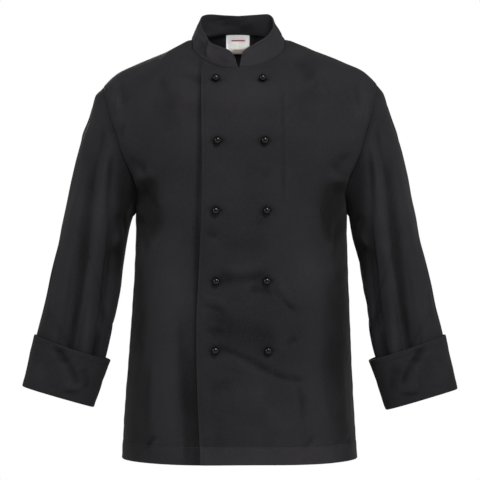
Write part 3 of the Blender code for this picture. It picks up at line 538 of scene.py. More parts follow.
def shell(
    name, outer, outward, thickness, tone, free=(), seams=(), wraps=False, washed=0.0, sunk=0.5
):
    """A closed sheet of cloth: its outside, its inside and a rim, which is round along the free
    edges. It carries its grain as a UV map in metres, each point's distance to a free edge, and
    a painted shading for its colour, from the tone: painted shade down to -1 where the cloth sinks
    in with the folds, and painted light up to about 0.4 where it stands out. The piece may also be
    made lighter all over or in places, and gets painted shade along its seams."""
    across, down = runs(outer)
    distance = {
        "start": across,
        "end": across[-1:] - across,
        "top": down,
        "bottom": down[:, -1:] - down,
    }
    to_edge, to_seam = (
        np.minimum.reduce([distance[edge] for edge in edges] + [np.full_like(down, FAR_FROM_EDGE)])
        for edges in (free, seams)
    )
    thickness = thickness * (1 - THINNER_AT_SEAM * fade(to_seam, 0.2, 3.2))
    # painted shade where the cloth sinks in a fold, painted light where it stands out, and painted shade
    # along the seams
    stands = np.tanh(tone / DEEP_FOLD) * np.where(tone > 0, RIDGE_SHARE, 1)
    stands = stands - sunk * fade(to_seam, 0.3, 3.5) + washed
    outer, added = turned_in(outer, outward, wraps, seams)
    to_edge, thickness, stands = (
        np.pad(layer, added, mode="edge") for layer in (to_edge, thickness, stands)
    )
    columns, rows = outer.shape[:2]
    inner = outer - grid_normals(outer, outward, wraps) * thickness[..., None]
    around = np.concatenate([outer, outer[:1]]) if wraps else outer
    spans = len(around) - 1
    grain = np.stack(runs(around), axis=-1)

    def corners(i, j):
        return i % columns * rows + j

    i, j = (a.ravel() for a in np.meshgrid(np.arange(spans), np.arange(rows - 1), indexing="ij"))
    square = ((i, j), (i + 1, j), (i + 1, j + 1), (i, j + 1))
    faces = [np.stack([corners(*c) for c in square], axis=-1)]
    faces.append(faces[0][:, ::-1] + columns * rows)
    grains = [np.stack([grain[c] for c in square], axis=1)]
    grains.append(grains[0][:, ::-1])
    points = [outer.reshape(-1, 3), inner.reshape(-1, 3)]
    made = 2 * columns * rows

    top = [(k, 0) for k in range(spans + 1)]
    end = [(spans, k) for k in range(1, rows)]
    bottom = [(k, rows - 1) for k in range(spans, -1, -1)]
    start = [(0, k) for k in range(rows - 2, -1, -1)]
    for loop in ([top, bottom] if wraps else [top + end + bottom[1:] + start]):
        i, j = np.array(loop).T
        at = {"start": i == 0, "end": i == spans, "top": j == 0, "bottom": j == rows - 1}
        rounded = sum((at[edge] for edge in free), np.zeros(len(loop), bool)) > 0
        beside = np.clip(i, 0 if wraps else 1, spans - (0 if wraps else 1)) % columns
        away = unit(outer[i % columns, j] - outer[beside, np.clip(j, 1, rows - 2)])
        middle = (outer[i % columns, j] + inner[i % columns, j]) / 2
        depth = thickness[i % columns, j]
        points.append((middle + away * (RIM_BULGE * depth * rounded)[:, None])[:-1])
        edge = corners(i, j)
        rim = made + np.arange(len(loop)) % (len(loop) - 1)
        inside = edge + columns * rows
        for first, second in ((edge, rim), (rim, inside)):
            faces.append(np.stack([first[1:], first[:-1], second[:-1], second[1:]], axis=-1))
            along = grain[i, j]
            grains.append(np.stack([along[1:], along[:-1], along[:-1], along[1:]], axis=1))
        made += len(loop) - 1
    faces, grains = np.concatenate(faces), np.concatenate(grains)
    if outward < 0:
        faces, grains = faces[:, ::-1], grains[:, ::-1]
    points = np.concatenate(points)
    edges = np.zeros(len(points))
    edges[: 2 * columns * rows] = np.tile(to_edge.ravel(), 2)
    painted_shading_per_point = np.zeros(len(points))
    painted_shading_per_point[: 2 * columns * rows] = np.tile(stands.ravel(), 2)

    mesh = bpy.data.meshes.new(name)
    mesh.from_pydata((points * MM).tolist(), [], faces.tolist())
    mesh.uv_layers.new(name="grain").data.foreach_set("uv", (grains * MM).ravel())
    mesh.attributes.new("to_edge", "FLOAT", "POINT").data.foreach_set("value", edges * MM)
    mesh.attributes.new("painted_shading", "FLOAT", "POINT").data.foreach_set("value", painted_shading_per_point)
    mesh.shade_smooth()
    return put(name, mesh)


def seam_roll(distance):
    """How far cloth sinks where it turns into a seam."""
    return -bell(distance, 1.9)


def puckers(points, distance, reach, size, seed):
    """Small waves along a stitched line, fading away from it. Pieces that meet there share
    them, because they follow the place."""
    return waves(points, size, seed, 6) * bell(distance, reach)


def hem_form(points, distance):
    """The turned-up hem: double cloth up to its stitching, which pulls in a fine groove."""
    double = 0.7 * fade(distance, HEM_DEPTH - 1.5, HEM_DEPTH + 1.5)
    groove = -0.9 * bell(distance - HEM_DEPTH, 1.6)
    return double + groove + 0.6 * puckers(points, distance - HEM_DEPTH, 11, 26, 31)


def dimples(out, below):
    """How far each stud pulls in the cloth round its buttonhole."""
    return sum(bell(out - x, 9.5) * bell(below - level, 7.0) for x, level in STUD_PLACES)


def dressed(points, lift, outward, wraps=False):
    """The cloth's outside, with its folds."""
    return settled(points + grid_normals(points, outward, wraps) * lift[..., None])


class Number:
    """A number that runs through a material. Arithmetic on it adds Math nodes."""

    def __init__(self, finish, socket):
        self.finish = finish
        self.socket = socket

    def math(self, operation, *values):
        return self.finish.add("ShaderNodeMath", *values, settings={"operation": operation})[0]

    def __add__(self, other):
        return self.math("ADD", self, other)

    def __sub__(self, other):
        return self.math("SUBTRACT", self, other)

    def __rsub__(self, other):
        return self.math("SUBTRACT", other, self)

    def __mul__(self, other):
        return self.math("MULTIPLY", self, other)

    def __truediv__(self, other):
        return self.math("DIVIDE", self, other)

    __radd__ = __add__

    def wave(self, pitch):
        """A sine wave of this pitch, from 0 to 1."""
        return self.math("SINE", self * (2 * math.pi / pitch)) * 0.5 + 0.5

    def off(self, middle):
        """How far the number is from a middle value, either way."""
        return self.math("ABSOLUTE", self - middle)

    def limited(self):
        """The number, kept from 0 to 1."""
        return self.finish.add("ShaderNodeClamp", self)[0]


class Finish:
    """A material while it is being made."""

    def __init__(self, name):
        self.material = bpy.data.materials.new(name)
        self.material.use_nodes = True
        self.nodes = self.material.node_tree.nodes
        self.shader = self.nodes["Principled BSDF"]

    def add(self, kind, *values, settings=(), **named):
        """A node with its inputs' values or links, and its settings. Returns its outputs."""
        node = self.nodes.new(kind)
        for name, value in dict(settings).items():
            setattr(node, name, value)
        inputs = [*enumerate(values), *((n.replace("_", " "), v) for n, v in named.items())]
        for key, value in inputs:
            self.give(node.inputs[key], value)
        return [Number(self, output) for output in node.outputs]

    def place(self):
        """Where a point is on the piece."""
        return self.add("ShaderNodeTexCoord")[3]

    def grain(self):
        """Where a point is on the flat cloth, in metres across and down it."""
        uv = self.add("ShaderNodeUVMap", settings={"uv_map": "grain"})[0]
        return self.add("ShaderNodeSeparateXYZ", uv)[:2]

    def layer(self, name):
        """A number that the mesh carries at each point."""
        return self.add("ShaderNodeAttribute", settings={"attribute_name": name})[2]

    def noise(self, scale, detail):
        """Uneven patches over the piece, from 0 to 1."""
        return self.add("ShaderNodeTexNoise", Vector=self.place(), Scale=scale, Detail=detail)[0]

    def bump(self, height, strength, distance, **coarser):
        """The surface's direction with a relief on it."""
        sizes = {"Strength": strength, "Distance": distance, "Height": height}
        return self.add("ShaderNodeBump", **sizes, **coarser)[0]

    def ramp(self, value, dark, light, low=0.0, high=1.0):
        """The dark colour up to a low value, the light one from a high one, and between them."""
        node = self.nodes.new("ShaderNodeValToRGB")
        for stop, place, colour in zip(node.color_ramp.elements, (low, high), (dark, light)):
            stop.position, stop.color = place, (*colour, 1)
        self.give(node.inputs[0], value)
        return Number(self, node.outputs[0])

    def mixed(self, share, first, second):
        """A colour between two others."""
        node = self.nodes.new("ShaderNodeMix")
        node.data_type = "RGBA"
        for index, value in ((0, share), (6, first), (7, second)):
            self.give(node.inputs[index], value)
        return Number(self, node.outputs[2])

    def give(self, socket, value):
        """Sets or links one input."""
        if isinstance(value, Number):
            self.material.node_tree.links.new(value.socket, socket)
        else:
            socket.default_value = value

    def set(self, **named):
        """Sets or links the shader's own inputs."""
        for name, value in named.items():
            self.give(self.shader.inputs[name.replace("_", " ")], value)


def twill(name, dark, light, pitch=0.0009):
    """Black twill: diagonal ribs, slight unevenness in the dye and weave, a matt face with a
    little sheen, and edges that are rubbed lighter. Its colour also carries each piece's painted
    shading: painted shade in the folds' troughs and along the seams, painted light on the ridges."""
    made = Finish(name)
    u, v = made.grain()
    rib = (u + v).wave(pitch)
    yarn = (u - v * 0.3).wave(pitch / 1.9)
    cloudy = made.noise(11.0, 3.0)
    slub = made.noise(260.0, 2.0)
    crumple = made.noise(70.0, 4.0)
    rubbed = (1 - (made.layer("to_edge") / 0.0020).limited()) * (0.2 + slub * 0.5)
    worn = (cloudy - 0.5) * 0.55 + (slub - 0.5) * 0.35 + rib * 0.12 + rubbed * 0.25
    # Base colour: the piece's painted shade and painted light, with the dye's unevenness, the ribs and
    # the rubbed edges
    shade = (0.425 + made.layer("painted_shading") * 0.43 + worn).limited()
    weave = made.bump(rib * 0.5 + yarn * 0.2 + slub * 0.5, 0.55, 0.00010)
    made.set(
        Base_Color=made.ramp(shade, dark, light),
        Roughness=0.80 + (cloudy - 0.5) * 0.18 - rubbed * 0.08,
        Normal=made.bump(crumple, 0.6, 0.0011, Normal=weave),
        Sheen_Weight=0.06,
        Sheen_Roughness=0.5,
        Specular_IOR_Level=0.22,
    )
    return made.material


BLACK_TWILL = twill("black_twill_cloth", (0.0034, 0.0031, 0.0038), (0.0390, 0.0364, 0.0420))

# Each piece's coarse form, its smooth form without folds, its dressed outside and the directions
# in which that faces
patterns, skins, outsides, facings = {}, {}, {}, {}


def cloth_piece(
    node, outside, outward, sheet, finish=BLACK_TWILL, slot="black_twill", wraps=False, **form
):
    """Makes a piece of cloth from its outside, and says what it rides on and stands for. How it lies
    flat is given but not used."""
    outsides[node], facings[node] = outside, grid_normals(outside, outward, wraps)
    made = shell(f"{node}_cloth", outside, outward, wraps=wraps, **form)
    made.data.materials.append(finish)
    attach(made, "root")
    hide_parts(node)


half_front = half_panel(front=True)
for side, sign in SIDES.items():
    patterns[side] = front_panel(half_front, side)
    skin = finer(patterns[side], FRONT_STEP)
    across, down = runs(skin)
    to_side, to_hem = across[-1:] - across, down[:, -1:] - down
    held = fade(to_side, 26, 0) * fade(down, 34, 0)
    out, below = skin[..., 0], -skin[..., 2]
    at_collar = fade(-sign * out, -2, 4)
    # The folds' lift, which also goes into the colour as painted shade in their troughs and painted
    # light on their ridges
    tone = folds_on(FRONT_FOLDS, out, below) * fade(below, 100, 40)
    tone = (tone + folds_on(FRONT_CREASES, out, below)) * held
    lift = tone + 0.6 * waves(skin, 74, 21) * held * fade(down, 90, 20)
    lift += 0.3 * waves(skin, 30, 22) * held
    if side == "left":
        pulled = dimples(out, below)
        # No painted shading near the overlap's edge, and painted shade round each stud
        tone = tone * (1 - fade(across, 1, 24)) - 5.0 * pulled
        lift -= 0.9 * pulled
    else:
        # A painted shadow of the overlap's edge on the right front
        tone += folds_on(PAINTED_SHADOW_OF_EDGE, out, below)
    # The fronts' painted shade and painted light
    tone += folds_on(FRONT_PAINTED_SHADING, out, below)
    double = fade(to_hem, HEM_DEPTH - 2, HEM_DEPTH + 2)
    # Painted light towards the top, and lighter over the hem's double cloth, most on the left front
    washed = 0.20 * fade(below, 80, 240) + (0.62 if side == "left" else 0.18) * double
    lift += seam_roll(to_side) + seam_roll(down) * at_collar + hem_form(skin, to_hem)
    lift += 0.5 * puckers(skin, to_side, 12, 24, 32) + 0.35 * puckers(skin, across, 9, 34, 33)
    lift += 0.3 * puckers(skin, down, 10, 24, 34)
    skins[f"{side}_front"] = skin
    cloth_piece(
        f"{side}_front",
        dressed(skin, lift, -sign),
        -sign,
        dict(flat=(0.40, 0.80), area=0.266, held="hung", rests_on=["collar_cloth", "back_cloth"]),
        thickness=CLOTH,
        tone=tone,
        free=("start", "bottom"),
        seams=("end", "top"),
        washed=washed,
    )

# ---- Back -------------------------------------------------------------------------------
# The back is one piece of the same twill, cut without a middle seam, and joined to the fronts
# at the shoulders and the sides. It hangs from the shoulder blades in a few long folds.

BACK_STEP = 3.8


def shift_onto(points, line):
    """The step from each point to the nearest place on a seam line."""
    start, way = line[:-1], np.diff(line, axis=0)
    share = ((points[:, None] - start) * way).sum(-1) / (way**2).sum(-1)
    steps = start + np.clip(share, 0, 1)[..., None] * way - points[:, None]
    nearest = np.linalg.norm(steps, axis=-1).argmin(axis=1)
    return steps[np.arange(len(points)), nearest]


def joined_to(fronts, points, across, down, reach):
    """The back with its shoulder and side edges on those of the fronts, and the cloth within
    reach of them moved with them."""
    right, left = (shift_onto(points[:, 0], fronts[f"{side}_front"][:, 0]) for side in SIDES)
    shift = np.where(points[:, 0, :1] > 0, left, right) * beyond_neck
    points = points + shift[:, None] * fade(down, 0, reach)[..., None]
    for side, edge, from_edge in (("right", 0, across), ("left", -1, across[-1:] - across)):
        shift = shift_onto(points[edge], fronts[f"{side}_front"][-1]) * hanging
        points = points + shift[None] * fade(from_edge, 0, reach)[..., None]
    return points


# Seen from the front, through the jacket: a is out, b is below
BACK_FOLDS = folds(
    (-92, 230, -104, 830, 4, 26, 0.2, 6.5),
    (96, 250, 112, 830, -4, 28, -0.2, 6.0),
    (-14, 260, 8, 860, 7, 24, 0.3, -5.5),
    (44, 420, 56, 860, -4, 17, -0.3, -3.4),
    (-156, 330, -166, 860, 5, 18, 0.3, -4.4),
    (154, 360, 170, 860, -5, 19, -0.2, -4.6),
    (-186, 262, -96, 356, 0, 15, 0, -4.6),
    (186, 266, 102, 366, 0, 15, 0, -4.6),
    (-70, 60, 74, 62, 0, 22, 0, 3.0),
)
BACK_CREASES = folds(
    # across the shoulder blades and below the collar
    (-64, 4, 58, 8, -8, 12, 0.2, -1.8),
    (-120, 84, -30, 96, 9, 14, 0.0, -1.6),
    (34, 92, 128, 78, 10, 15, 0.0, -1.8),
    (-150, 150, -60, 176, 8, 18, 0.0, 1.8),
    (66, 182, 152, 148, 8, 18, 0.0, 1.8),
    # from the armholes
    (-222, 120, -178, 210, -8, 11, 0.2, -2.6),
    (-212, 150, -160, 240, -9, 10, 0.0, 2.2),
    (-204, 210, -128, 292, 8, 8, 0.3, -3.2),
    (-198, 250, -118, 344, 7, 8, 0.0, 2.4),
    (-194, 286, -124, 400, 6, 8, 0.3, -2.8),
    (222, 126, 182, 214, 8, 11, 0.2, -2.6),
    (212, 156, 164, 246, 9, 10, 0.0, 2.2),
    (204, 214, 132, 300, -8, 8, 0.3, -3.2),
    (198, 254, 124, 352, -7, 8, 0.0, 2.4),
    (194, 292, 134, 410, -6, 8, 0.3, -2.6),
    # small of the back
    (-88, 392, 10, 408, 8, 12, 0.2, -2.2),
    (-20, 436, 96, 422, 8, 13, 0.0, -2.2),
    (-120, 452, -30, 470, 6, 11, 0.2, 1.9),
    (34, 486, 130, 474, -7, 12, 0.0, 1.9),
    (-60, 516, 44, 528, 6, 15, 0.0, -1.6),
    # hanging folds of the skirt
    (-66, 470, -76, 860, -6, 9, 0.4, -3.2),
    (-40, 540, -46, 840, 5, 11, 0.0, 2.8),
    (-22, 420, -30, 700, 4, 7, 0.4, -2.6),
    (20, 460, 28, 840, -4, 8, 0.4, 2.8),
    (58, 500, 70, 850, 6, 8, 0.4, -3.2),
    (104, 560, 112, 860, -4, 8, 0.3, -2.6),
    (132, 440, 142, 830, -5, 12, 0.0, 3.0),
    (-126, 460, -136, 840, 5, 10, 0.3, 3.0),
    (-112, 560, -120, 860, 3, 7, 0.4, -2.4),
    (-190, 440, -198, 830, 4, 9, 0.3, 2.6),
    (188, 450, 200, 830, -4, 9, 0.3, 2.6),
    # puckers over the hem
    (-98, 744, -78, 722, 2, 6, 0.2, -1.7),
    (-14, 742, 6, 720, 2, 7, 0.2, -1.7),
    (84, 744, 102, 722, 2, 6, 0.2, -1.8),
    (150, 740, 168, 722, 2, 7, 0.0, 1.4),
)

# Painted shade by the underarms, and painted light across the top of the back
BACK_PAINTED_SHADING = folds(
    (-198, 236, -188, 380, 0, 12, 0, -8.0),
    (198, 236, 188, 380, 0, 12, 0, -8.0),
    (-120, 60, 120, 64, 0, 50, 0, 1.8),
)

half_back = half_panel(front=False)
patterns["back"] = hung(np.concatenate([half_back[:0:-1] * np.array([-1, 1, 1]), half_back]))
smooth = finer(patterns["back"], BACK_STEP)
beyond_neck = fade(np.abs(smooth[:, 0, :1]), 93, 84)
hanging = fade(-smooth[-1, :, 2:], UNDERARM_BELOW + 10, UNDERARM_BELOW - 20)
skin = joined_to(skins, smooth, *runs(smooth), 60)
across, down = runs(skin)
to_side, to_hem = np.minimum(across, across[-1:] - across), down[:, -1:] - down
held = fade(to_side, 26, 0) * fade(down, 34, 0)
out, below = skin[..., 0], -skin[..., 2]
# The folds' lift, which also goes into the colour as painted shade in their troughs and painted light on
# their ridges
tone = folds_on(BACK_FOLDS, out, below) * fade(below, 85, 25)
tone = (tone + folds_on(BACK_CREASES, out, below)) * held
lift = tone + 0.7 * waves(skin, 78, 41) * held * fade(down, 90, 20)
lift += 0.3 * waves(skin, 30, 42) * held
tone += folds_on(BACK_PAINTED_SHADING, out, below)
# Painted light towards the top, and lighter over the hem
washed = 0.12 * fade(below, 80, 240) + 0.2 * fade(to_hem, HEM_DEPTH - 2, HEM_DEPTH + 2)
lift += seam_roll(to_side) + seam_roll(down) + hem_form(skin, to_hem)
lift += 0.5 * puckers(skin, to_side, 12, 24, 32) + 0.3 * puckers(skin, down, 10, 24, 34)
skins["back"] = skin
cloth_piece(
    "back",
    joined_to(outsides, dressed(skin, lift, 1), across, down, 16),
    1,
    dict(flat=(0.56, 0.82), area=0.40, held="hung", rests_on=["collar_cloth"]),
    thickness=CLOTH,
    tone=tone,
    free=("bottom",),
    seams=("start", "end", "top"),
    washed=washed,
)

# ---- Sleeves ----------------------------------------------------------------------------
# Each long sleeve is one piece of twill, closed along the inside of the arm by a felled seam
# and set into the armhole. It hangs from the shoulder in long folds, and its end is caught
# inside the cuff.

SLEEVE_STEP = 3.2
ARM_RADIUS = 62.0
DEGREE = math.radians(1) * ARM_RADIUS
ROUND_ARM = 2 * math.pi * ARM_RADIUS
INSEAM, INSEAM_DRIFT = 164.0, 14.0
FELL, FELL_STITCHES = 4.6, 3.4
CAP_FULLNESS = {"right": 0.24, "left": 0.22}
HEAD_RISE = {"right": 5.6, "left": 3.9}
CAP_RINGS, SLEEVE_RINGS = 6, 11

# Each row is a ring of the sleeve, given at its middle. tilt is the ring's slope outwards.
SLEEVE = Table(
    ("below", "out", "forward", "tilt", "half_width", "half_depth"),
    (336, 262, -4, 13.0, 60.5, 76),
    (376, 270, -1, 12.5, 61.0, 71),
    (425, 279.5, 5, 12.5, 62.5, 65),
    (474, 288.5, 12, 13.0, 64.0, 59),
    (516, 297, 18, 14.0, 64.6, 53),
    (558, 306.5, 24, 15.0, 64.6, 46.5),
    (600, 317.5, 30, 16.0, 63.0, 42.5),
    (641, 327, 35, 16.5, 61.5, 38.5),
)


def ring(table, below, angles, side):
    """Points round a sleeve or cuff at one height of its table; angle 0 is the outer side and
    90 degrees the front."""
    tilt = math.radians(float(table.at("tilt", below)))
    centre = np.array([table.at("out", below), -table.at("forward", below), -below], float)
    outward = np.array([math.cos(tilt), 0.0, math.sin(tilt)])
    across = table.at("half_width", below) * np.cos(angles)[:, None] * outward
    deep = table.at("half_depth", below) * np.sin(angles)[:, None] * np.array([0.0, -1.0, 0.0])
    return (centre + across + deep) * np.array([SIDES[side], 1, 1])


def sleeve_rings(hole, side):
    """A sleeve's coarse rings, from its hole in the body to the wrist."""
    angles = 2 * math.pi * np.arange(len(hole)) / len(hole)
    heights = np.linspace(SLEEVE.rows[0][0], SLEEVE.rows[-1][0], SLEEVE_RINGS)
    first = ring(SLEEVE, heights[0], angles, side)
    axis = unit(ring(SLEEVE, heights[0] + 20, angles, side).mean(0) - first.mean(0))
    chord = first - hole
    length = np.linalg.norm(chord, axis=1, keepdims=True)
    leave = unit(chord / length + CAP_FULLNESS[side] * np.array([SIDES[side], 0, 0]))
    cap = (hole, hole + leave * length / 3, first - axis * length / 3, first)
    rings = [bezier(cap, step) for step in np.arange(CAP_RINGS) / CAP_RINGS]
    rings += [ring(SLEEVE, height, angles, side) for height in heights]
    return np.stack(rings, axis=1)


def from_line(angles, line):
    """Degrees round the sleeve from a line that runs down it."""
    return (angles - line + 180) % 360 - 180


def armhole(side, sheets):
    """The edge of an armhole all round, down the front and up the back."""
    edges = sheets[f"{side}_front"][-1], sheets["back"][-1 if side == "left" else 0]
    front, back = (edge[edge[:, 2] > -UNDERARM_BELOW - 1] for edge in edges)
    return np.concatenate([front, back[::-1], front[:1]])


def top_onto(points, line, down, reach):
    """A sheet with its top edge on a seam line, and the cloth within reach moved with it."""
    return points + shift_onto(points[:, 0], line)[:, None] * fade(down, 0, reach)[..., None]


# Folds along a sleeve: a is degrees round it from its outer side, through the front, to its
# inner side, and b is the share of its length, in percent
SLEEVE_FOLDS = folds(
    (86, 6, 124, 96, 0, 13, 0.2, 4.5),
    (68, 10, 100, 104, 0, 12, -0.2, -5.0),
    (118, 14, 150, 92, 0, 14, 0.2, -4.5),
    (46, 18, 54, 88, 0, 17, 0, 3.5),
    (168, 28, 140, 52, 0, 10, 0, 3.0),
    (262, 15, 254, 60, 0, 18, 0, -4.0),
    (300, 30, 284, 95, 0, 22, 0, 3.5),
    (198, 34, 244, 58, 0, 12, 0, -4.5),
    (222, 55, 236, 97, 0, 20, 0, 3.5),
)
OWN_FOLDS = {
    "left": folds((182, 16, 176, 55, 0, 36, 0, -4.5)),
    "right": folds((182, 20, 178, 85, 0, 34, 0, 2.5)),
}
SLEEVE_CREASES = folds(
    # along the front of the arm
    (92, -2, 94, 24, 2, 6, 0.3, 2.6),
    (104, 0, 110, 30, -2, 6, 0.3, -3.0),
    (74, 0, 74, 34, 3, 7, 0.2, -2.4),
    (110, 22, 128, 60, 3, 4, 0.5, -2.6),
    (120, 26, 136, 66, 3, 5, 0.0, 1.8),
    (80, 30, 92, 76, 2, 4, 0.5, -2.4),
    (94, 46, 108, 96, -2, 4, -0.5, 2.2),
    (60, 40, 70, 92, 2, 6, 0.3, -1.8),
    (86, 64, 100, 104, -2, 4, 0.5, -3.0),
    (130, 60, 140, 94, 3, 5, 0.3, -2.0),
    # inside the elbow: short folds across
    (158, 46, 118, 54, 4, 4, 0.5, -1.8),
    (160, 52, 122, 60, 4, 5, 0.0, 1.4),
    # from the underarm
    (160, 8, 124, 22, -4, 6, 0.3, -2.6),
    (158, 14, 128, 30, -4, 6, 0.0, 2.2),
    (156, 20, 122, 38, -5, 6, 0.3, -2.4),
    # above the cuff
    (112, 80, 118, 97, 3, 5, 0.4, -2.0),
    (66, 84, 76, 98, 3, 5, 0.3, -1.6),
    (30, 76, 40, 92, 3, 8, 0.0, -1.4),
    # outer side and back of the arm
    (8, 6, 14, 30, 4, 10, 0.2, -2.0),
    (340, 34, 348, 74, -5, 8, 0.3, -3.2),
    (328, 38, 334, 70, -4, 9, 0.0, 2.4),
    (18, 56, 26, 90, 4, 9, 0.3, 2.2),
    (10, 60, 14, 96, 4, 8, 0.3, -2.4),
    (346, 4, 352, 26, 3, 8, 0.2, 2.0),
    (350, 52, 20, 46, 4, 7, 0.3, -1.8),
    (346, 78, 16, 86, -4, 7, 0.3, -1.8),
    (322, 84, 350, 96, -3, 7, 0.2, 1.8),
    (306, 8, 300, 34, 4, 9, 0.2, -2.0),
    (280, 44, 272, 80, -4, 8, 0.3, -2.4),
    (232, 12, 244, 36, 4, 8, 0.2, 2.2),
    (250, 52, 300, 58, 6, 7, 0.3, -2.2),
    (244, 60, 292, 66, 5, 7, 0.0, 1.8),
    (214, 64, 222, 92, 4, 8, 0.2, -2.2),
    (316, 70, 310, 94, 3, 8, 0.0, 1.8),
)
# Painted shade under the armhole seam, in the underarm, inside the arm and above the cuff, and painted
# light in bands along the inner and the outer side of the sleeve
SLEEVE_PAINTED_SHADING = folds(
    (174, -14, 166, 34, 0, 22, 0, -13.0),
    (128, -8, 150, 40, 0, 16, 0, -3.0),
    (146, 16, 164, 112, 0, 24, 0, 3.6),
    (106, 14, 108, 106, 0, 13, 0, -2.0),
    (210, -10, 204, 40, 0, 22, 0, -5.0),
    (100, 88, 104, 108, 0, 12, 0, -5.0),
    (32, 10, 40, 100, 0, 22, 0, 1.6),
    (44, -14, 46, 26, 0, 24, 0, 2.4),
)
for side, sign in SIDES.items():
    front_edge = patterns[side][-1, : ARMHOLE_ROWS + 1]
    back_edge = patterns["back"][-1 if side == "left" else 0, 1:ARMHOLE_ROWS]
    rings = sleeve_rings(np.concatenate([front_edge, back_edge[::-1]]), side)
    coarse_down = runs(rings)[1].mean(axis=0)
    places = places_along(coarse_down[-1], SLEEVE_STEP)
    rings = smooth_curve(coarse_down, rings.swapaxes(0, 1), places).swapaxes(0, 1)
    count = len(rings)
    knots = np.arange(-4, count + 5) * 360 / count
    padded = np.concatenate([rings[-4:], rings, rings[:5]])
    even = np.arange(0, 360, 2.45)
    beside_inseam = np.array([1.3, 2.6, FELL_STITCHES, 4.3, 5.2, 6.5])
    near_inseam = INSEAM + np.concatenate([-beside_inseam[::-1], [0], beside_inseam])
    even = even[np.abs(from_line(even[:, None], near_inseam)).min(axis=1) > 1.2]
    angles = np.unique(np.concatenate([even, near_inseam]))
    fell_rows = [
        int(np.abs(from_line(angles, INSEAM + aside)).argmin())
        for aside in (-FELL_STITCHES, FELL_STITCHES)
    ]
    share = places / places[-1]
    drift = INSEAM_DRIFT * fade(share, 0, 0.3)
    pull = bell(from_line(angles, INSEAM), 46)
    skin = np.stack(
        [smooth_curve(knots, padded[:, j], angles + drift[j] * pull) for j in range(len(places))],
        axis=1,
    )
    degrees = angles[:, None] + drift[None, :] * pull[:, None]
    skin = top_onto(skin, armhole(side, skins), runs(skin)[1], 50)
    down = runs(skin)[1]
    share = down / down[:, -1:]
    held = fade(share, 0.10, 0) * (1 - 0.8 * fade(share, 0.95, 0.78))
    *shaping, shading = (
        folds_on(table, degrees * DEGREE, down, (DEGREE, places[-1] / 100), ROUND_ARM)
        for table in (SLEEVE_FOLDS, OWN_FOLDS[side], SLEEVE_CREASES, SLEEVE_PAINTED_SHADING)
    )
    lift = sum(shaping) * held
    # The folds' lift as painted shade and light, the table's painted shading, and painted shade along
    # the armhole seam
    tone = lift + shading - 2.0 * fade(down, 3, 20)
    lift += 0.55 * waves(skin, 66, 51) * held + 0.25 * waves(skin, 28, 52) * held
    from_inseam = np.abs(from_line(angles, INSEAM))[:, None] * DEGREE
    felled = 0.6 * fade(from_inseam, FELL, FELL + 1.2) - 0.45 * bell(from_inseam - FELL_STITCHES, 0.8)
    lift += felled * fade(share, 0.03, 0) + 0.35 * puckers(skin, from_inseam, 10, 22, 53)
    on_top = fade(np.abs(from_line(degrees, 0)), 25, 95) * fade(down, 20, 0)
    lift += HEAD_RISE[side] * on_top * bell(down - 16, 27)
    lift += seam_roll(down) + 0.5 * puckers(skin, down, 14, 24, 32)
    outside = top_onto(dressed(skin, lift, sign, wraps=True), armhole(side, outsides), down, 16)
    outside[:, 0] -= 0.4 * unit(outside[:, 1] - outside[:, 0])
    cloth_piece(
        f"{side}_sleeve",
        outside,
        sign,
        dict(
            flat=(0.50, 0.66), area=0.19, held="hung", rests_on=[f"{side}_front_cloth", "back_cloth"]
        ),
        wraps=True,
        thickness=CLOTH,
        tone=tone,
        seams=("top",),
    )

# ---- Cuffs ------------------------------------------------------------------------------
# Each cuff is a deep band of double twill, turned back over the sleeve's end. Its fold is at
# the wrist, and its free edge stands a little off the sleeve.

CUFF_CLOTH = 1.7
CUFF_TURN = 2.95
CUFF_LEG = 12.0
CUFF_STITCHES = 9.0
CUFF_COLUMNS = 150
CUFF_SLANT = 2.4
CUFF_DROP = {"right": 0.0, "left": 4.8}
CUFF = Table(
    ("below", "out", "forward", "tilt", "half_width", "half_depth"),
    (565.5, 304, 27, 18.5, 72.8, 53.5),
    (610, 317, 32, 17.5, 70.4, 48.0),
    (654, 330, 36, 16.5, 67.8, 43.5),
)

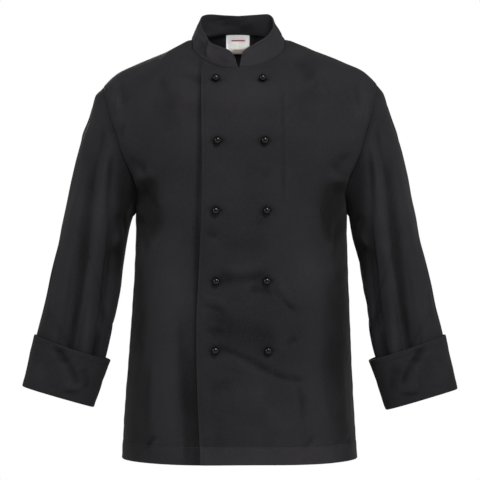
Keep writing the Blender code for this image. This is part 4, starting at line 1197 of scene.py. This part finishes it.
# Dents and drags: a is degrees round the cuff, b millimetres up from its fold
CUFF_FOLDS = folds(
    (60, 96, 124, 26, -6, 5, 0.5, -2.8),
    (52, 90, 112, 16, -6, 7, 0.0, 1.6),
    (76, 92, 88, 60, 0, 9, 0.2, -2.6),
    (92, 18, 124, 26, 5, 4, 0.5, -2.8),
    (90, 26, 128, 38, 5, 7, 0.0, 1.6),
    (36, 20, 62, 52, 4, 13, 0.0, 1.2),
    (120, 76, 142, 30, 4, 8, 0.4, -1.8),
    (12, 60, 30, 24, 4, 14, 0.0, -1.2),
    (180, 66, 206, 26, -4, 10, 0.3, -1.6),
    (226, 76, 268, 30, 5, 7, 0.5, -2.4),
    (252, 74, 290, 44, 4, 9, 0.0, 1.6),
    (296, 30, 322, 60, 3, 11, 0.0, 1.5),
    (330, 66, 352, 22, -3, 10, 0.3, -1.5),
)
for side, sign in SIDES.items():
    angles = 2 * math.pi * np.arange(CUFF_COLUMNS) / CUFF_COLUMNS
    levels = np.linspace(CUFF.rows[0][0], CUFF.rows[-1][0], 12)
    wall = np.stack([ring(CUFF, below, angles, side) for below in levels], axis=1)
    run = runs(wall)[1].mean(axis=0)
    places = np.concatenate([[0, 0.5, 1.2, 2.2, 3.5], np.arange(5.2, run[-1] - 4.5, 3.0), run[-1:]])
    wall = smooth_curve(run, wall.swapaxes(0, 1), places).swapaxes(0, 1)
    outward = grid_normals(wall, sign, wraps=True)
    down_way = unit(wall[:, -1] - wall[:, -2])
    around, height = np.meshgrid(angles * ARM_RADIUS, run[-1] - places, indexing="ij")
    tone = folds_on(CUFF_FOLDS, around, height, (DEGREE, 1), ROUND_ARM) * fade(height, 16, 0)
    lift = tone + 0.5 * waves(wall, 52, 61) * fade(height, 14, 0)
    lift += 0.9 * waves(wall, 90, 62) * fade(height, 0, 90) + 0.35 * waves(wall, 20, 63)
    edge_in = run[-1] - height
    lift += 0.35 * fade(edge_in, CUFF_STITCHES - 0.5, CUFF_STITCHES + 1)
    lift -= 0.5 * bell(edge_in - CUFF_STITCHES, 1.3)
    wall = wall + outward * lift[..., None]
    wall[..., 2] += (CUFF_SLANT * np.sin(angles)[:, None] - CUFF_DROP[side]) * fade(height, 0, 60)
    # the wall ends a turn's height above the wrist, goes round the fold and back up inside
    wall[:, -1] -= down_way * CUFF_TURN
    fold = [
        wall[:, -1] + CUFF_TURN * (down_way * math.sin(t) - outward[:, -1] * (1 - math.cos(t)))
        for t in np.linspace(0, math.pi, 11)[1:]
    ]
    leg = [fold[-1] - down_way * rise for rise in (2.0, 4.5, 7.5, CUFF_LEG - CUFF_TURN)]
    profile = settled(np.stack([*np.moveaxis(wall, 1, 0), *fold, *leg], axis=1))
    cloth_piece(
        f"{side}_cuff",
        profile,
        sign,
        dict(flat=(0.40, 0.105), held="folded", rests_on=[f"{side}_sleeve_cloth"]),
        wraps=True,
        thickness=CUFF_CLOTH,
        # painted shade and light from the cuff's dents, and the whole cuff painted a little darker
        tone=np.pad(tone, ((0, 0), (0, profile.shape[1] - tone.shape[1]))) - 0.6,
        free=("top",),
    )

# ---- Collar -----------------------------------------------------------------------------
# The stand collar is two layers of twill over a stiff interlining, sewn into the neck seam. It
# leans in towards the neck, and its two rounded front ends stand apart.

COLLAR_CLOTH = 2.6
COLLAR_STEP = 2.4
COLLAR_HEIGHT = 45.0
COLLAR_STITCHES = 5.2
COLLAR_TOP = Table(
    ("around", "forward", "right_out", "right_below", "left_out", "left_below"),
    (0, 72, 7.5, 44.5, 2.0, 42),
    (8, 70, 14.4, 33, 6.0, 31),
    (18, 64, 25.5, 25, 19.5, 21),
    (31, 56, 41, 18.5, 35, 11.5),
    (46, 43, 54.5, 11, 50, 1),
    (61, 28, 62, -2, 57.5, -9),
    (76, 12, 68, -13, 62, -18),
    (90, -3, 71, -24, 62, -26),
    (104, -14, 71.5, -35, 61.5, -36),
    (119, -27, 68, -42.5, 59, -42.5),
    (134, -36, 58, -46, 52.5, -46.5),
    (149, -41, 43, -46.5, 41, -47),
    (162, -43, 25, -45.5, 25, -46),
    (180, -44, 0, -44.5, 0, -44.5),
)

# a is the distance from the wearer's right front end, in millimetres, and b the share of the
# collar's height, in percent
COLLAR_CREASES = folds(
    (64, 4, 74, 104, 4, 4.2, 0.35, -4.4),
    (54, 10, 64, 104, 4, 7, 0.0, 2.2),
    (83, -20, 88, 80, 0, 12, 0.0, -3.4),
    (96, 16, 104, 90, -4, 9, 0.0, 1.3),
    (128, 20, 140, 92, 4, 10, 0.2, -1.4),
    (176, 12, 182, 88, 3, 12, 0.0, -1.2),
    (222, 20, 214, 92, 3, 12, 0.0, 1.3),
    (262, 14, 268, 88, -3, 11, 0.2, -1.4),
    (334, 30, 328, 104, -3, 5, 0.3, -3.0),
    (342, 10, 338, 90, 4, 8, 0.0, 1.5),
    (20, 16, 34, 60, 3, 9, 0.0, -1.2),
    (372, 24, 360, 76, 3, 9, 0.0, -1.2),
)

neck = len(NECK_ANGLES)
right_end, left_end = (
    patterns[side][OVERLAP_COLUMNS : OVERLAP_COLUMNS + neck, 0] for side in SIDES
)
middle = len(patterns["back"]) // 2
behind = patterns["back"][middle - neck + 2 : middle + neck - 1, 0]
base = np.concatenate([right_end, behind, left_end[::-1]])
half = np.concatenate([NECK_ANGLES, 180 - np.array(NECK_ANGLES[-2::-1])])
right_top, left_top = (
    np.stack(
        [
            COLLAR_TOP.at(f"{side}_out", half) * sign,
            -COLLAR_TOP.at("forward", half),
            -COLLAR_TOP.at(f"{side}_below", half),
        ],
        axis=-1,
    )
    for side, sign in SIDES.items()
)
top = np.concatenate([right_top, left_top[-2::-1]])
outward = unit(base * np.array([1, 1, 0]) + np.array([0, 1e-6, 0]))
bulge = 0.6 - 2.4 * np.tanh(base[:, :1] / 40)
coarse = np.stack(
    [
        base * (1 - level) + top * level + outward * bulge * math.sin(math.pi * level)
        for level in (0.0, 0.2, 0.45, 0.75, 1.0)
    ],
    axis=1,
)
skin = finer(coarse, COLLAR_STEP)
across, down = runs(skin)
along_neck = across.mean(axis=1, keepdims=True) + np.zeros_like(across)
height = down / down[:, -1:] * COLLAR_HEIGHT
ends_in = np.minimum(across, across[-1:] - across)
lift = folds_on(COLLAR_CREASES, along_neck, height, (1, COLLAR_HEIGHT / 100))
lift = lift * fade(ends_in, 14, 2) * fade(down, 10, 0)
# The creases' lift as painted shade in the collar's colour, and painted light on their ridges
tone = 1.6 * lift
lift += 0.55 * waves(skin, 44, 71) * fade(down, 12, 0) + 0.25 * waves(skin, 18, 72) * fade(down, 8, 0)
border = np.minimum(ends_in, down[:, -1:] - down)
lift += seam_roll(down) + 0.3 * fade(border, 4.6, 6.0) - 0.45 * bell(border - COLLAR_STITCHES, 1.1)
lift += 0.3 * puckers(skin, border - COLLAR_STITCHES, 7, 18, 73)
neck_line = []
for piece, centre, half_width in (
    ("right_front", -45, 48),
    ("back", -NECK_SHIFT, NECK_HALF_WIDTH),
    ("left_front", 40, 44),
):
    seam = outsides[piece][:, 0]
    seam = seam[np.abs(seam[:, 0] - centre) < half_width]
    neck_line.append(seam[::-1] if piece == "left_front" else seam)
outside = top_onto(dressed(skin, lift, -1), np.concatenate(neck_line), down, 14)
outside[:, 0] -= 0.5 * unit(outside[:, 1] - outside[:, 0])
cloth_piece(
    "collar",
    outside,
    -1,
    dict(
        flat=(0.43, 0.055),
        area=0.0205,
        held="folded",
        rests_on=["left_front_cloth", "right_front_cloth", "back_cloth"],
    ),
    thickness=COLLAR_CLOTH,
    tone=tone,
    free=("start", "end", "bottom"),
    seams=("top",),
    # The collar painted lighter all over, with less painted shade along its seam
    washed=0.8,
    sunk=0.25,
)

# ---- Neck label -------------------------------------------------------------------------
# A soft woven label in white satin, sewn in under the collar seam at the middle of the back
# neck. It bears two plain thin bars and no words.

LABEL_WIDTH, LABEL_HEIGHT, LABEL_CLOTH = 43.0, 42.0, 0.85
LABEL_MIDDLE, LABEL_TOP, LABEL_OFF_BACK = -4.0, 1.2, 1.6
BAR_SOFTNESS = 0.00018


def read_along(places, along, values):
    """Vectors read at other places along a line, from those at its own points."""
    return np.stack([np.interp(places, along, column) for column in values.T], axis=-1)


near_label = np.abs(outsides["back"][:, 20, 0]) < 60
facing = facings["back"][near_label, :40]
inside = outsides["back"][near_label, :40] - facing * CLOTH
columns = []
for out in LABEL_MIDDLE + LABEL_WIDTH * np.linspace(-0.5, 0.5, 25):
    rows = [(inside[:, j, 0], inside[:, j], facing[:, j]) for j in range(40)]
    line = np.array([read_along(out, places, points) for places, points, _ in rows])
    lean = np.array([read_along(out, places, ways) for places, _, ways in rows])
    steps = np.linalg.norm(np.diff(line, axis=0), axis=-1)
    run = np.concatenate(([0.0], np.cumsum(steps)))
    places = LABEL_TOP + LABEL_HEIGHT * np.linspace(0, 1, 25)
    way = unit(read_along(places, run, lean))
    columns.append(read_along(places, run, line) - way * LABEL_OFF_BACK)
face = np.array(columns)
down = runs(face)[1]
face = face + grid_normals(face, -1) * (0.25 * waves(face, 26, 81) * fade(down, 8, 0))[..., None]

white_label = Finish("white_woven_label")
u, v = white_label.grain()
warp, weft = u.wave(0.00045), v.wave(0.00060)


def bar(middle_u, middle_v, half_width, half_height):
    """1 on a bar of the label, and 0 beyond it."""
    beside, above = (
        ((value.off(middle) - half) / BAR_SOFTNESS).limited()
        for value, middle, half in ((u, middle_u, half_width), (v, middle_v, half_height))
    )
    return (1 - beside) * (1 - above)


bars = bar(0.022, 0.0125, 0.0125, 0.0012) + bar(0.022, 0.0325, 0.0085, 0.0007)
white = white_label.ramp(warp * weft, (0.80, 0.79, 0.80), (0.93, 0.92, 0.93))
white_label.set(
    Base_Color=white_label.mixed(bars.limited(), white, (0.42, 0.03, 0.03, 1)),
    Roughness=0.62 - bars * 0.1,
    Normal=white_label.bump(warp + weft + bars * 1.5, 0.5, 0.00008),
    Sheen_Weight=0.2,
)
cloth_piece(
    "neck_label",
    face,
    -1,
    dict(flat=(0.044, 0.046), held="hung", rests_on=["back_cloth"]),
    white_label.material,
    "white_label",
    thickness=LABEL_CLOTH,
    tone=np.zeros_like(down),
    free=("start", "end", "top", "bottom"),
)

# ---- Stitching and buttonholes ------------------------------------------------------------
# Black polyester thread, in lockstitch along the hem, the overlap's edge, the collar, the cuffs,
# the shoulders and armholes, and in two rows along each felled sleeve seam. The ten buttonholes
# are worked close with the same thread, crosswise over a slit.

STITCH_PITCH, STITCH_LENGTH, THREAD = 3.0, 2.3, 0.26
STITCH_LIFT, STITCHES_FROM_SEAM = 0.14, 6.0
BUTTONHOLE_LENGTH, BUTTONHOLE_BITE, BUTTONHOLE_PITCH, BUTTONHOLE_THREAD = 21.0, 1.15, 0.62, 0.27


def stitch_line(piece, edge, depth):
    """A line on a piece at one depth from an edge: its places, and how the cloth faces there."""
    both = np.concatenate([outsides[piece], facings[piece]], axis=-1)
    if edge in ("start", "end"):
        both = both.swapaxes(0, 1)
    if edge in ("end", "bottom"):
        both = both[:, ::-1]
    depths = runs(both[..., :3])[1]
    line = np.array([read_along(depth, run, column) for column, run in zip(both, depths)])
    leans = unit(line[:, 3:])
    return line[:, :3] + leans * STITCH_LIFT, leans


def place_on_overlap(out, below):
    """The point of the left front, and how it faces, at a place seen from in front."""
    both = np.concatenate([outsides["left_front"], facings["left_front"]], axis=-1)
    rows = []
    for row in both.swapaxes(0, 1)[::-1]:
        row = row[np.argsort(row[:, 0])]
        rows.append(read_along(out, row[:, 0], row))
    rows = np.array(rows)
    found = read_along(-below, rows[:, 2], rows)
    return found[:3], unit(found[3:])


class Tree:
    """A Geometry Nodes tree while it is being made. Its inputs are named sizes."""

    def __init__(self, name, **inputs):
        self.group = bpy.data.node_groups.new(name, "GeometryNodeTree")
        self.sockets = {}
        face = self.group.interface
        face.new_socket("Geometry", in_out="INPUT", socket_type="NodeSocketGeometry")
        face.new_socket("Geometry", in_out="OUTPUT", socket_type="NodeSocketGeometry")
        for socket, kind in inputs.items():
            made = face.new_socket(socket, in_out="INPUT", socket_type=f"NodeSocket{kind}")
            self.sockets[socket] = made.identifier
        self.start = self.group.nodes.new("NodeGroupInput")

    def input(self, name):
        """A named input, to link on."""
        return self.start.outputs[name]

    def add(self, kind, settings=(), output=0, **inputs):
        """A node with its settings and its inputs' values or links. Returns one of its outputs."""
        node = self.group.nodes.new(kind)
        for name, value in dict(settings).items():
            setattr(node, name, value)
        for name, value in inputs.items():
            socket = node.inputs[name.replace("_", " ")]
            if isinstance(value, bpy.types.NodeSocket):
                self.group.links.new(value, socket)
            else:
                socket.default_value = value
        return node.outputs[output]

    def lean(self):
        """How the cloth faces at a guide's point."""
        settings = {"data_type": "FLOAT_VECTOR"}
        return self.add("GeometryNodeInputNamedAttribute", settings, Name="lean")

    def finish(self, instances):
        """Ends the tree: real geometry, in its named material."""
        real = self.add("GeometryNodeRealizeInstances", Geometry=instances)
        painted = self.add("GeometryNodeSetMaterial", Geometry=real, Material=self.input("Finish"))
        end = self.group.nodes.new("NodeGroupOutput")
        self.group.links.new(painted, end.inputs[0])


def grown(name, base, tree, **sizes):
    """The plain mesh that a tree grows from a base mesh."""
    made = put(name, base)
    grower = made.modifiers.new("grower", "NODES")
    grower.node_group = tree.group
    for socket, value in sizes.items():
        grower[tree.sockets[socket]] = value
    ready = made.evaluated_get(bpy.context.evaluated_depsgraph_get())
    mesh = bpy.data.meshes.new_from_object(ready)
    made.modifiers.clear()
    made.data = mesh
    return made


def guide(name, lines):
    """Points and edges along lines of (place, lean) pairs, for a tree to grow on."""
    points, leans, edges = [], [], []
    for places, lean in lines:
        edges += [(len(points) + k, len(points) + k + 1) for k in range(len(places) - 1)]
        points += (np.array(places) * MM).tolist()
        leans += np.array(lean).tolist()
    mesh = bpy.data.meshes.new(name)
    mesh.from_pydata(points, edges, [])
    lean_layer = mesh.attributes.new("lean", "FLOAT_VECTOR", "POINT")
    lean_layer.data.foreach_set("vector", np.array(leans).ravel())
    return mesh


def thread(name, dark, light):
    """Spun polyester thread: a fine twist, a little fuzz and a slight shine."""
    made = Finish(name)
    fuzz = made.noise(900.0, 2.0)
    twist = made.add("ShaderNodeTexWave", Vector=made.place(), Scale=900.0, Distortion=2.0)[1]
    made.set(
        Base_Color=made.ramp(fuzz, dark, light, 0.2, 0.8),
        Roughness=0.58 + fuzz * 0.2,
        Normal=made.bump(twist, 0.4, 0.00005),
        Sheen_Weight=0.08,
        Specular_IOR_Level=0.25,
    )
    return made.material


tree = Tree(
    "stitch_row",
    Pitch="Float",
    Start="Vector",
    Middle="Vector",
    End="Vector",
    Thread="Float",
    Finish="Material",
)
line = tree.add("GeometryNodeMeshToCurve", Mesh=tree.input("Geometry"))
even = tree.add(
    "GeometryNodeResampleCurve", {"mode": "LENGTH"}, Curve=line, Length=tree.input("Pitch")
)
turned = tree.add(
    "FunctionNodeAxesToRotation",
    {"primary_axis": "Z", "secondary_axis": "X"},
    Primary_Axis=tree.lean(),
    Secondary_Axis=tree.add("GeometryNodeInputTangent"),
)
arc = tree.add(
    "GeometryNodeCurveQuadraticBezier",
    Resolution=4,
    Start=tree.input("Start"),
    Middle=tree.input("Middle"),
    End=tree.input("End"),
)
round_thread = tree.add(
    "GeometryNodeCurvePrimitiveCircle", Resolution=5, Radius=tree.input("Thread")
)
stitch = tree.add(
    "GeometryNodeCurveToMesh", Curve=arc, Profile_Curve=round_thread, Fill_Caps=True
)
tree.finish(
    tree.add("GeometryNodeInstanceOnPoints", Points=even, Instance=stitch, Rotation=turned)
)

lines, lines_with_painted_sheen = [], [stitch_line("back", "bottom", HEM_DEPTH)]
for side in SIDES:
    front, sleeve = f"{side}_front", f"{side}_sleeve"
    lines_with_painted_sheen.append(stitch_line(front, "bottom", HEM_DEPTH))
    places, leans = stitch_line(front, "start", STITCHES_FROM_SEAM)
    lines.append((places[2:], leans[2:]))
    places, leans = stitch_line(front, "top", STITCHES_FROM_SEAM)
    shoulder = np.abs(places[:, 0]) > NECK_HALF_WIDTH + 4
    lines.append((places[shoulder], leans[shoulder]))
    for piece, edge in ((front, "end"), ("back", "end" if side == "left" else "start")):
        places, leans = stitch_line(piece, edge, STITCHES_FROM_SEAM)
        above = places[:, 2] > -UNDERARM_BELOW + 4
        lines.append((places[above], leans[above]))
    for column in fell_rows:
        places, leans = outsides[sleeve][column, 3:-3], facings[sleeve][column, 3:-3]
        lines_with_painted_sheen.append((places + leans * STITCH_LIFT, leans))
    places, leans = stitch_line(f"{side}_cuff", "top", CUFF_STITCHES)
    lines.append((np.append(places, places[:1], axis=0), np.append(leans, leans[:1], axis=0)))
for edge, first in (("start", 0), ("end", 0), ("bottom", 4)):
    places, leans = stitch_line("collar", edge, COLLAR_STITCHES)
    lines.append((places[first:-4], leans[first:-4]))

hole_lines = []
for out, below in STUD_PLACES:
    for row in (-1.0, 1.0):
        sewn_row = [
            place_on_overlap(out + along, below + row)
            for along in np.linspace(-0.5, 0.5, 12) * BUTTONHOLE_LENGTH
        ]
        places, leans = (np.array(values) for values in zip(*sewn_row))
        hole_lines.append((places + leans * 0.1, leans))


def sew(name, lines, half_stitch, sizes, dark, light):
    """One kind of stitch all along its lines, as a piece. half_stitch reaches forwards along the
    line and aside from it, and sizes are the stitches' pitch, rise and thread."""
    forwards, aside = half_stitch
    pitch, rise, width = sizes
    stitches = grown(
        name,
        guide(f"{name}_lines", lines),
        tree,
        Pitch=pitch * MM,
        Start=(-forwards * MM, -aside * MM, -0.1 * MM),
        Middle=(0.0, 0.0, rise * MM),
        End=(forwards * MM, aside * MM, -0.1 * MM),
        Thread=width * MM,
        Finish=thread(name.replace("stitching", "thread"), dark, light),
    )
    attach(stitches, "root")


row_stitch = (STITCH_LENGTH / 2, 0.0), (STITCH_PITCH, 0.45, THREAD)
hole_stitch = (0.0, BUTTONHOLE_BITE), (BUTTONHOLE_PITCH, 0.75, BUTTONHOLE_THREAD)
sew("seam_stitching", lines, *row_stitch, (0.010, 0.0095, 0.011), (0.024, 0.023, 0.026))
# The hem and inseam rows are a lighter copy of the seam thread: a painted sheen
sew("hem_and_inseam_stitching", lines_with_painted_sheen, *row_stitch, (0.022, 0.021, 0.024), (0.060, 0.057, 0.064))
# The buttonhole thread is a darker copy of it: painted shade round the studs
sew("buttonhole_stitching", hole_lines, *hole_stitch, (0.0030, 0.0028, 0.0034), (0.0085, 0.0080, 0.0092))

# ---- Stud buttons -----------------------------------------------------------------------
# Ten glossy black ball studs in two columns of five. Each is moulded in one piece, with a ball, a
# short neck and a foot, and is pushed through a worked buttonhole in both fronts.


def lathe(name, profile, steps):
    """A turned shape from (radius, height) pairs, from its top down to its foot."""
    angles = 2 * math.pi * np.arange(steps) / steps
    rings = [(r * math.cos(a), r * math.sin(a), h) for r, h in profile[1:-1] for a in angles]
    points = [(0, 0, profile[0][1]), *rings, (0, 0, profile[-1][1])]
    last = len(points) - 1
    faces = []
    for k in range(steps):
        after = (k + 1) % steps
        faces.append((0, 1 + k, 1 + after))
        for r in range(len(profile) - 3):
            a, b = 1 + r * steps, 1 + (r + 1) * steps
            faces.append((a + k, b + k, b + after, a + after))
        ring_start = 1 + (len(profile) - 3) * steps
        faces.append((last, ring_start + after, ring_start + k))
    mesh = bpy.data.meshes.new(name)
    mesh.from_pydata([tuple(v * MM for v in p) for p in points], [], faces)
    mesh.shade_smooth()
    return mesh


glossy = Finish("glossy_black_stud")
cloud = glossy.noise(420.0, 3.0)
glossy.set(
    Base_Color=glossy.ramp(cloud, (0.0010, 0.0010, 0.0012), (0.0026, 0.0026, 0.0030), 0.3, 0.8),
    Roughness=0.17 + cloud * 0.05 + glossy.noise(1500.0, 2.0) * 0.03,
    Normal=glossy.bump(cloud, 0.1, 0.00005),
    Specular_IOR_Level=0.5,
)

BALL_RADIUS, BALL_HALF_DEPTH, BALL_OFF_CLOTH = 7.0, 6.1, 6.7
ball = np.radians(np.linspace(180, 24, 20))
profile = [
    (BALL_RADIUS * math.sin(a), BALL_OFF_CLOTH - BALL_HALF_DEPTH * math.cos(a)) for a in ball
]
# the neck, and the foot inside the cloth
profile += [(2.45, 1.3), (2.5, 0.9), (2.9, 0.55), (3.9, 0.45), (4.1, 0.1), (3.8, -0.3), (0.0, -0.3)]
stud_shape = bpy.data.objects.new("stud_shape", lathe("stud_shape", profile, 36))

tree = Tree("stud_setting", Stud="Object", Lift="Float", Finish="Material")
lean = tree.lean()
points = tree.add("GeometryNodeMeshToPoints", Mesh=tree.input("Geometry"))
raise_up = tree.add(
    "ShaderNodeVectorMath", {"operation": "SCALE"}, Vector=lean, Scale=tree.input("Lift")
)
tree.finish(
    tree.add(
        "GeometryNodeInstanceOnPoints",
        Points=tree.add("GeometryNodeSetPosition", Geometry=points, Offset=raise_up),
        Instance=tree.add("GeometryNodeObjectInfo", output="Geometry", Object=tree.input("Stud")),
        Rotation=tree.add("FunctionNodeAlignRotationToVector", {"axis": "Z"}, Vector=lean),
    )
)
settings = [place_on_overlap(*place) for place in STUD_PLACES]
studs = grown(
    "stud_buttons",
    guide("stud_places", [([place], [lean]) for place, lean in settings]),
    tree,
    Stud=stud_shape,
    Lift=0.2 * MM,
    Finish=glossy.material,
)
bpy.data.objects.remove(stud_shape)
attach(studs, "root")
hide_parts(*(f"button_{column}_{row}" for column in SIDES for row in range(1, 6)))

# ---- Stage ------------------------------------------------------------------------------
# A plain pale floor below the jacket and white paper far behind it. Soft studio light comes from
# the front, both sides and behind, and a small narrow beam reaches the label. The camera is
# level, four metres in front.

FLOOR_LEVEL, FLOOR_RADII, FLOOR_SIDES = -1.3, (1.5, 3.2), 72


def lamp(name, place, target, width, height, watts, spread=180):
    """A soft rectangular light that faces a point. spread is its beam's angle, in degrees."""
    light = bpy.data.lights.new(name, "AREA")
    light.shape = "RECTANGLE"
    light.size = width
    light.size_y = height
    light.energy = watts
    light.spread = math.radians(spread)
    made = put(name, light)
    made.location = place
    x, y, z = np.array(target) - np.array(place)
    made.rotation_euler = (math.atan2(math.hypot(x, y), -z), 0, math.atan2(-x, y))
    made.visible_camera = False


lamp("front", (0.8, -3.0, 2.2), (0, 0, -0.2), 1.1, 1.1, 74)
lamp("left_side", (3.0, -1.8, 0.3), (0, 0, -0.35), 1.4, 1.4, 14)
lamp("right_side", (-3.0, -1.8, 0.3), (0, 0, -0.35), 1.4, 1.4, 18)
lamp("behind", (-0.6, 3.8, 0.7), (0, 0, -0.35), 1.6, 1.6, 50)
lamp("on_label", (-0.004, -0.32, -0.035), (-0.004, 0.072, -0.001), 0.044, 0.025, 0.0048, 2)

floor_mesh = bpy.data.meshes.new("floor")
ring_points = [
    (radius * math.cos(angle), radius * math.sin(angle), FLOOR_LEVEL)
    for radius in FLOOR_RADII
    for angle in 2 * math.pi * np.arange(FLOOR_SIDES) / FLOOR_SIDES
]
inner_ring = list(range(FLOOR_SIDES))
floor_faces = [tuple(inner_ring)]
for here, following in zip(inner_ring, inner_ring[1:] + inner_ring[:1]):
    floor_faces.append((FLOOR_SIDES + here, FLOOR_SIDES + following, following, here))
floor_mesh.from_pydata(ring_points, [], floor_faces)
floor = put("floor", floor_mesh)
pale = Finish("pale_floor")
mottle = pale.mixed(pale.noise(6.0, 4.0), (0.84, 0.84, 0.84, 1), (0.90, 0.90, 0.90, 1))
pale.set(Base_Color=mottle, Roughness=0.85)
floor.data.materials.append(pale.material)

world = bpy.data.worlds.new("studio")
world.use_nodes = True
nodes, links = world.node_tree.nodes, world.node_tree.links
soft = nodes["Background"]
soft.inputs["Color"].default_value = (1, 1, 1, 1)
soft.inputs["Strength"].default_value = 0.16
white_paper = nodes.new("ShaderNodeBackground")
white_paper.inputs["Color"].default_value = (1, 1, 1, 1)
chosen = nodes.new("ShaderNodeMixShader")
seen = nodes.new("ShaderNodeLightPath")
links.new(seen.outputs["Is Camera Ray"], chosen.inputs[0])
links.new(soft.outputs[0], chosen.inputs[1])
links.new(white_paper.outputs[0], chosen.inputs[2])
links.new(chosen.outputs[0], nodes["World Output"].inputs[0])
bpy.context.scene.world = world
bpy.context.scene.view_settings.view_transform = "Standard"

camera = put("camera", bpy.data.cameras.new("camera"))
camera.location = (0, -4.0, -0.3697)
camera.rotation_euler = (math.pi / 2, 0, 0)
camera.data.sensor_width = 36
camera.data.lens = 163.93
bpy.context.scene.camera = camera
